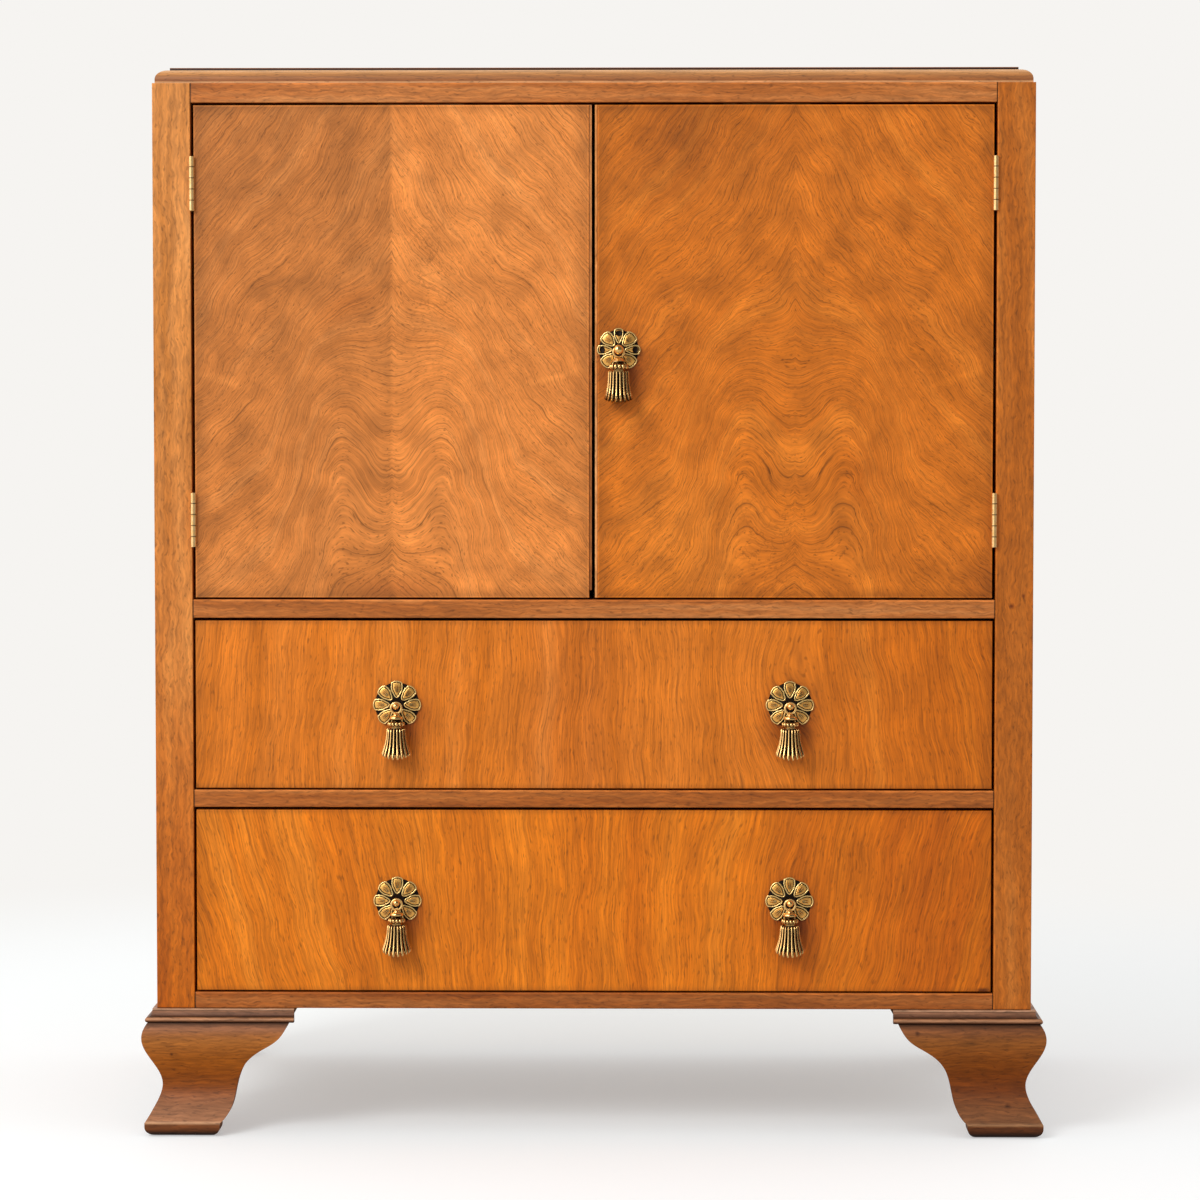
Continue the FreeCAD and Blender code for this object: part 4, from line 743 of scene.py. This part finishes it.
def petalRing(petal):
    middle = (petal["from"] + petal["to"]) / 2
    reach = (petal["to"] - petal["from"]) / 2
    letGo()
    heart = (0, middle * mm, 0)
    bpy.ops.mesh.primitive_circle_add(vertices=24, radius=reach * mm, location=heart, fill_type="NGON")
    spoon = begin()
    for brass in (castBrass, blackPatinaAndShadeBrass, rimRubbedAndHighlitBrass):
        spoon.data.materials.append(brass)
    bpy.ops.transform.resize(value=(petal["half"] / reach, 1, 1), center_override=heart)
    for low, high, share in petal["outline"]:
        pick("verts", lambda vert: low * reach <= vert.co.y / mm - middle < high * reach)
        bpy.ops.transform.resize(value=(share, 1, 1), center_override=heart)
    pick("faces", lambda face: True)
    for thickness, rise, brassSlot in petal["steps"]:
        spoon.active_material_index = brassSlot
        bpy.ops.object.material_slot_assign()
        bpy.ops.mesh.inset(thickness=thickness * mm, depth=0)
        bpy.ops.transform.translate(value=(0, 0, rise * mm))
    pick("edges", lambda edge: edge.is_boundary)
    bpy.ops.mesh.extrude_edges_move(TRANSFORM_OT_translate={"value": (0, 0, -petal["skirt"] * mm)})
    pick("faces", lambda face: face.calc_center_median().z < -0.1 * mm)
    spoon.active_material_index = 1  # the sides are black: painted shade under the petals
    bpy.ops.object.material_slot_assign()
    ready()
    rounded(2)
    parts = [spoon]
    root = petal["from"] * mm
    for index in range(petal["ridges"]):
        lean = math.radians((index - (petal["ridges"] - 1) / 2) * petal["ridgeFan"])
        length = petal["ridgeLength"] * (1 - petal["ridgeLoss"] * abs(lean))
        at = (0, root + (petal["ridgeFrom"] + length / 2) * mm, petal["field"] * mm)
        letGo()
        bpy.ops.mesh.primitive_cube_add(size=mm, location=at)
        ridge = begin()
        bpy.ops.transform.resize(value=(petal["ridgeWide"], length, petal["ridgeTall"]), center_override=at)
        pick("verts", lambda vert: vert.co.z > at[2])
        bpy.ops.transform.resize(value=petal["ridgeTop"], center_override=at)
        bpy.ops.mesh.select_all(action="SELECT")
        bpy.ops.transform.rotate(value=lean, orient_axis="Z", center_override=(0, root, 0))
        ready()
        ridge.data.materials.append(rimRubbedAndHighlitBrass)
        parts.append(ridge)
    if petal["hole"]:
        out, wide, tall = petal["hole"]
        at = (0, out * mm, (petal["field"] + petal["holeDeep"]) * mm)
        letGo()
        bpy.ops.mesh.primitive_circle_add(vertices=20, radius=wide * mm, location=at, fill_type="NGON")
        hole = begin()
        bpy.ops.transform.resize(value=(1, tall / wide, 1), center_override=at)
        bpy.ops.mesh.inset(thickness=petal["holeRim"] * mm, depth=0)
        bpy.ops.transform.translate(value=(0, 0, -petal["holeDeep"] * mm))
        pick("edges", lambda edge: edge.is_boundary)
        bpy.ops.mesh.extrude_edges_move(TRANSFORM_OT_translate={"value": (0, 0, -petal["holeSkirt"] * mm)})
        ready()
        # the hole's lining is black: painted shade
        hole.data.materials.append(blackPatinaAndShadeBrass)
        parts.append(hole)
    piece = joinAs("petals", parts, castBrass)
    bpy.ops.object.mode_set(mode="EDIT")
    bpy.ops.mesh.select_all(action="SELECT")
    bpy.ops.transform.rotate(value=math.radians(petal["tilt"]), orient_axis="X", center_override=heart)
    bpy.ops.transform.translate(value=(0, 0, petal["height"] * mm))
    bpy.ops.transform.rotate(value=math.radians(petal["turn"]), orient_axis="Z", center_override=(0, 0, 0))
    copiesRound(petal["count"])
    bpy.ops.object.mode_set(mode="OBJECT")
    return piece


def rosette(shape):
    edge = shape["plate"]
    back, brim, top = shape["plateLevels"]
    plate = drawn(((edge, 0, back), (edge, 0, brim), (edge - shape["slope"], 0, top)) + shape["boss"], 48)
    # the plate is black: painted shade behind and between the petals
    plate.data.materials.append(blackPatinaAndShadeBrass)
    pieces = [plate] + [petalRing(petal) for petal in shape["petals"]]
    whole = joinAs("rosette", pieces, castBrass)
    bpy.ops.object.mode_set(mode="EDIT")
    bpy.ops.mesh.select_all(action="SELECT")
    bpy.ops.transform.rotate(value=math.radians(-90), orient_axis="X", center_override=(0, 0, 0))
    bpy.ops.object.mode_set(mode="OBJECT")
    return whole


# tassels: a ring, a turned cap with a bead collar, and a skirt of cast strands that flares to
# thick rounded ends, which hang lower in front than at the sides

tassel = {
    "ring": (4.85, 1.0, -2.2),  # radius, wire, height of its centre
    "cap": (
        (1.5, 0, -6.9), (2.4, 0, -7.6), (3.0, 0, -9.0), (5.0, 0, -9.6), (5.9, 0, -10.2), (6.3, 0, -11.2),
        (6.1, 0, -12.2), (5.2, 0, -12.9), (4.2, 0, -13.2), (3.9, 0, -13.8), (4.2, 0, -14.4), (5.4, 0, -14.8),
        (6.2, 0, -15.4), (6.4, 0, -16.9), (6.2, 0, -18.3), (5.6, 0, -18.9), (5.3, 0, -19.6), (5.4, 0, -21.0)),
    "core": (
        (5.4, 0, -21.0), (6.4, 0, -21.6), (6.9, 0, -25.0), (7.2, 0, -31.0), (8.2, 0, -38.0), (9.6, 0, -43.5),
        (8.6, 0, -45.0), (4.0, 0, -45.4)),
    "beads": (13, 1.6, 6.5, -16.9, 1.2),  # count, radius, distance from the axis, height, stretch
    "strands": 18,
    "strand": (
        (0.5, 7.6, -21.2), (0.8, 8.2, -22.0), (0.82, 8.4, -26.0), (0.88, 8.8, -31.0), (0.98, 9.6, -36.0),
        (1.12, 10.8, -41.0), (1.3, 11.9, -45.0), (1.4, 12.25, -47.4), (1.2, 12.3, -48.8), (0.5, 12.3, -49.5)),
    "beaded": 0.0, "swell": 1.12,  # how far a strand is drawn in and swells along its length
    "arc": 0.13, "arcFrom": -25,  # the share of its length below this height that the outermost strand loses
}
doorTassel = {
    **tassel, "cap": (
        (1.5, 0, -6.9), (2.6, 0, -7.3), (4.0, 0, -7.6), (4.6, 0, -8.3), (5.6, 0, -9.6), (6.4, 0, -10.4),
        (6.4, 0, -10.9), (5.2, 0, -11.3), (4.4, 0, -11.7), (4.4, 0, -12.9), (6.0, 0, -13.3), (7.0, 0, -13.9),
        (7.3, 0, -15.6), (7.0, 0, -17.3), (6.2, 0, -17.9), (5.8, 0, -18.6), (5.4, 0, -21.0)),
    "beads": (13, 1.75, 7.3, -15.6, 1.3), "beaded": 0.2,
    "strand": (
        (0.5, 8.3, -19.6), (0.85, 8.9, -20.6), (0.9, 9.1, -26.0), (0.94, 9.3, -31.0), (1.02, 9.8, -36.0),
        (1.15, 10.6, -41.0), (1.35, 11.4, -45.0), (1.5, 11.7, -47.4), (1.25, 11.8, -48.8),
        (0.5, 11.8, -49.5)),
}


def strandSteps(shape):
    if not shape["beaded"]:
        return shape["strand"]
    steps = []
    neck, bead = 1 - shape["beaded"], shape["swell"]
    for before, step in zip(shape["strand"], shape["strand"][1:]):
        for share, swell in ((0.0, neck), (0.25, bead), (0.5, neck), (0.75, bead)):
            radius, out, height = [a + (b - a) * share for a, b in zip(before, step)]
            steps.append((radius * swell, out, height))
    return tuple(steps) + (shape["strand"][-1],)


def tasselPiece(shape):
    cap = drawn(shape["cap"], 40)
    core = drawn(shape["core"], 40)
    # the core is black: painted shade between the strands
    core.data.materials.append(blackPatinaAndShadeBrass)
    strand = drawn(strandSteps(shape), 12)
    bpy.ops.object.mode_set(mode="EDIT")
    copiesRound(shape["strands"])
    turn = math.tau / shape["strands"]
    arcFrom = shape["arcFrom"] * mm
    for index in range(shape["strands"] // 4 + 1):
        pick("verts", lambda vert: vert.co.z < arcFrom and abs(
            math.atan2(abs(vert.co.y), abs(vert.co.x)) - index * turn) < turn / 2)
        bpy.ops.transform.resize(
            value=(1, 1, 1 - shape["arc"] * math.cos(index * turn) ** 2), center_override=(0, 0, arcFrom))
    bpy.ops.object.mode_set(mode="OBJECT")
    count, radius, out, height, stretch = shape["beads"]
    letGo()
    at = (out * mm, 0, height * mm)
    bpy.ops.mesh.primitive_ico_sphere_add(subdivisions=3, radius=radius * mm, location=at)
    beads = begin()
    bpy.ops.transform.resize(value=(1, 1, stretch), center_override=at)
    copiesRound(count)
    bpy.ops.object.mode_set(mode="OBJECT")
    major, wire, middle = shape["ring"]
    letGo()
    bpy.ops.mesh.primitive_torus_add(
        major_radius=major * mm, minor_radius=wire * mm, major_segments=48, minor_segments=14,
        location=(0, 0, middle * mm), rotation=(math.pi / 2, 0, 0))
    ring = begin()
    ready()
    ring.data.materials.append(rimRubbedAndHighlitBrass)
    return joinAs("tassel", [cap, core, strand, beads, ring], paleBrass)


def postHeight(posts):
    # the posts' own boxes say how high the pulls sit
    lo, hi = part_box(posts)
    return (lo.z + hi.z) / 2


oneRosette = rosette(drawerRosette)
oneTassel = tasselPiece(tassel)
for drawer in ("upper_drawer", "lower_drawer"):
    height = postHeight(drawer + "_pull_posts")
    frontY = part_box(drawer + "_front")[0].y
    pair = []
    for hand in ("left", "right"):
        name = drawer + "_" + hand + "_tassel"
        lo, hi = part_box(name)
        x, y = (lo.x + hi.x) / 2, (lo.y + hi.y) / 2
        pair.append(copyAt(oneRosette, name + "_rosette", (x, frontY, height)))
        hanging = copyAt(oneTassel, name + "_cast", (x, y, height))
        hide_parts(name)
        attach(hanging, name)
    plates = joinAs(drawer + "_rosettes_cast", pair, castBrass)
    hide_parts(drawer + "_pull_rosettes")
    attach(plates, drawer)
for spare in (oneRosette, oneTassel):
    bpy.data.objects.remove(spare)

lo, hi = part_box("door_pull_tassel")
x, y = (lo.x + hi.x) / 2, (lo.y + hi.y) / 2
height = postHeight("door_pull_post")
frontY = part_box("right_door_panel")[0].y
doorPlate = rosette(doorRosette)
plate = copyAt(doorPlate, "door_pull_rosette_cast", (x, frontY, height))
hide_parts("door_pull_rosette")
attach(plate, "right_door")
doorSwing = tasselPiece(doorTassel)
hanging = copyAt(doorSwing, "door_pull_tassel_cast", (x, y, height))
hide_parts("door_pull_tassel")
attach(hanging, "door_pull_tassel")
for spare in (doorPlate, doorSwing):
    bpy.data.objects.remove(spare)


# studio: a pale floor that runs out into the backdrop, soft light all round, a large soft lamp
# from the upper left

studio = {
    "backdrop": "#f6f4f1", "floor": "#cdd4d7", "floorSize": 14.0, "fadeFrom": 0.9, "fadeTo": 1.9,
    "floorAt": -0.2,  # in millimetres: the feet stand just clear of it
    "floorLift": (0.385, 0.37, 0.366), "floorBounce": "#b9b6b2", "sky": 0.90, "ground": 0.46,
    "horizon": (-0.3, 0.8), "windowSide": 2.2, "windowEdge": (-0.75, -0.15), "darkSide": 0.07,
    "backEdge": (-0.2, 0.4), "lampColour": (1, 0.985, 0.965), "toothMm": 10 / 9, "toothRelief": 0.02,
    "keyWatts": 73, "keySize": 1.6, "keyPlace": (-1.9, -2.9, 2.5), "keyAim": (0, 0, 0.5),
    "eye": (0.0575, -3.7139, 0.6763), "aim": (0.0062, -0.2139, 0.4998), "lens": 113.64,
}

letGo()
bpy.ops.mesh.primitive_plane_add(size=studio["floorSize"], location=(0, 0, studio["floorAt"] * mm))
floor = begin()
bpy.ops.mesh.subdivide(number_cuts=3)
bpy.ops.object.mode_set(mode="OBJECT")
floor.name = "studio_floor"

floorPaint, tree = newFinish("paper backdrop, matt")  # hardly any gloss, only the soft shadow shows
place = addNode(tree, "ShaderNodeTexCoord", {}, out="Object")
away = addNode(tree, "ShaderNodeVectorMath", {0: place}, out="Value", operation="LENGTH")
far = addNode(tree, "ShaderNodeMapRange", {
    "Value": away, "From Min": studio["fadeFrom"], "From Max": studio["fadeTo"]},
    interpolation_type="SMOOTHSTEP")
seen = addNode(tree, "ShaderNodeLightPath", {}, out="Is Camera Ray")
fade = addNode(tree, "ShaderNodeMath", {0: far, 1: seen}, operation="MULTIPLY")
tooth = addNode(tree, "ShaderNodeTexNoise", {
    "Vector": place, "Scale": 1 / (studio["toothMm"] * mm), "Detail": 2.0}, out="Fac")
paperRelief = addNode(tree, "ShaderNodeBump", {
    "Height": tooth, "Strength": studio["toothRelief"], "Distance": 0.1 * mm}, out="Normal")
tint = addNode(tree, "ShaderNodeMix", {  # it sends less light back up than its own colour would
    0: seen, 6: linear(studio["floorBounce"]), 7: linear(studio["floor"])}, out=2, data_type="RGBA")
paper = addNode(tree, "ShaderNodeBsdfPrincipled", {
    "Base Color": tint, "Roughness": 0.9, "Specular IOR Level": 0.1, "Normal": paperRelief})
lift = addNode(tree, "ShaderNodeEmission", {"Color": studio["floorLift"] + (1,), "Strength": seen})
lifted = addNode(tree, "ShaderNodeAddShader", {0: paper, 1: lift})
glow = addNode(tree, "ShaderNodeEmission", {"Color": linear(studio["backdrop"]), "Strength": 1.0})
mixed = addNode(tree, "ShaderNodeMixShader", {0: fade, 1: lifted, 2: glow})
addNode(tree, "ShaderNodeOutputMaterial", {"Surface": mixed})
floor.data.materials.append(floorPaint)

world = bpy.data.worlds.new("studio")
bpy.context.scene.world = world
world.use_nodes = True
tree = world.node_tree
tree.nodes.clear()
way = addNode(tree, "ShaderNodeTexCoord", {}, out="Generated")
ways = addNode(tree, "ShaderNodeSeparateXYZ", {"Vector": way}).node.outputs
low, high = studio["horizon"]
level = addNode(tree, "ShaderNodeMapRange", {
    "Value": ways["Z"], "From Min": low, "From Max": high,
    "To Min": studio["ground"], "To Max": studio["sky"]})
softLight = addNode(tree, "ShaderNodeBackground", {"Color": studio["lampColour"] + (1,), "Strength": level})
paths = addNode(tree, "ShaderNodeLightPath", {}).node.outputs
low, high = studio["windowEdge"]
side = addNode(tree, "ShaderNodeMapRange", {  # reflections: a bright room on the left, a dark one in front
    "Value": ways["X"], "From Min": low, "From Max": high,
    "To Min": studio["windowSide"], "To Max": studio["darkSide"]})
low, high = studio["backEdge"]
back = addNode(tree, "ShaderNodeMapRange", {"Value": ways["Y"], "From Min": low, "From Max": high})
room = addNode(tree, "ShaderNodeMath", {0: side, 1: back}, operation="MAXIMUM")
wallLevel = addNode(tree, "ShaderNodeMix", {  # the camera sees one even wall
    0: paths["Is Camera Ray"], 2: room, 3: 1.0}, data_type="FLOAT")
paleWall = addNode(tree, "ShaderNodeBackground", {"Color": linear(studio["backdrop"]), "Strength": wallLevel})
shown = addNode(tree, "ShaderNodeMath", {
    0: paths["Is Camera Ray"], 1: paths["Is Glossy Ray"]}, operation="MAXIMUM")
shown = addNode(tree, "ShaderNodeMath", {0: shown, 1: paths["Is Transmission Ray"]}, operation="MAXIMUM")
both = addNode(tree, "ShaderNodeMixShader", {0: shown, 1: softLight, 2: paleWall})
addNode(tree, "ShaderNodeOutputWorld", {"Surface": both})


def aimed(thing, place, target):
    thing.location = place
    thing.rotation_euler = (Vector(target) - Vector(place)).to_track_quat("-Z", "Y").to_euler()
    bpy.context.scene.collection.objects.link(thing)


lampData = bpy.data.lights.new("key_lamp", "AREA")
lampData.energy = studio["keyWatts"]
lampData.size = studio["keySize"]
lampData.color = studio["lampColour"]
aimed(bpy.data.objects.new("key_lamp", lampData), studio["keyPlace"], studio["keyAim"])

viewData = bpy.data.cameras.new("photo_view")
viewData.lens = studio["lens"]
viewData.sensor_width = 36
photoView = bpy.data.objects.new("photo_view", viewData)
aimed(photoView, studio["eye"], studio["aim"])
bpy.context.scene.camera = photoView
bpy.context.scene.view_settings.view_transform = "Standard"
print("studio set")
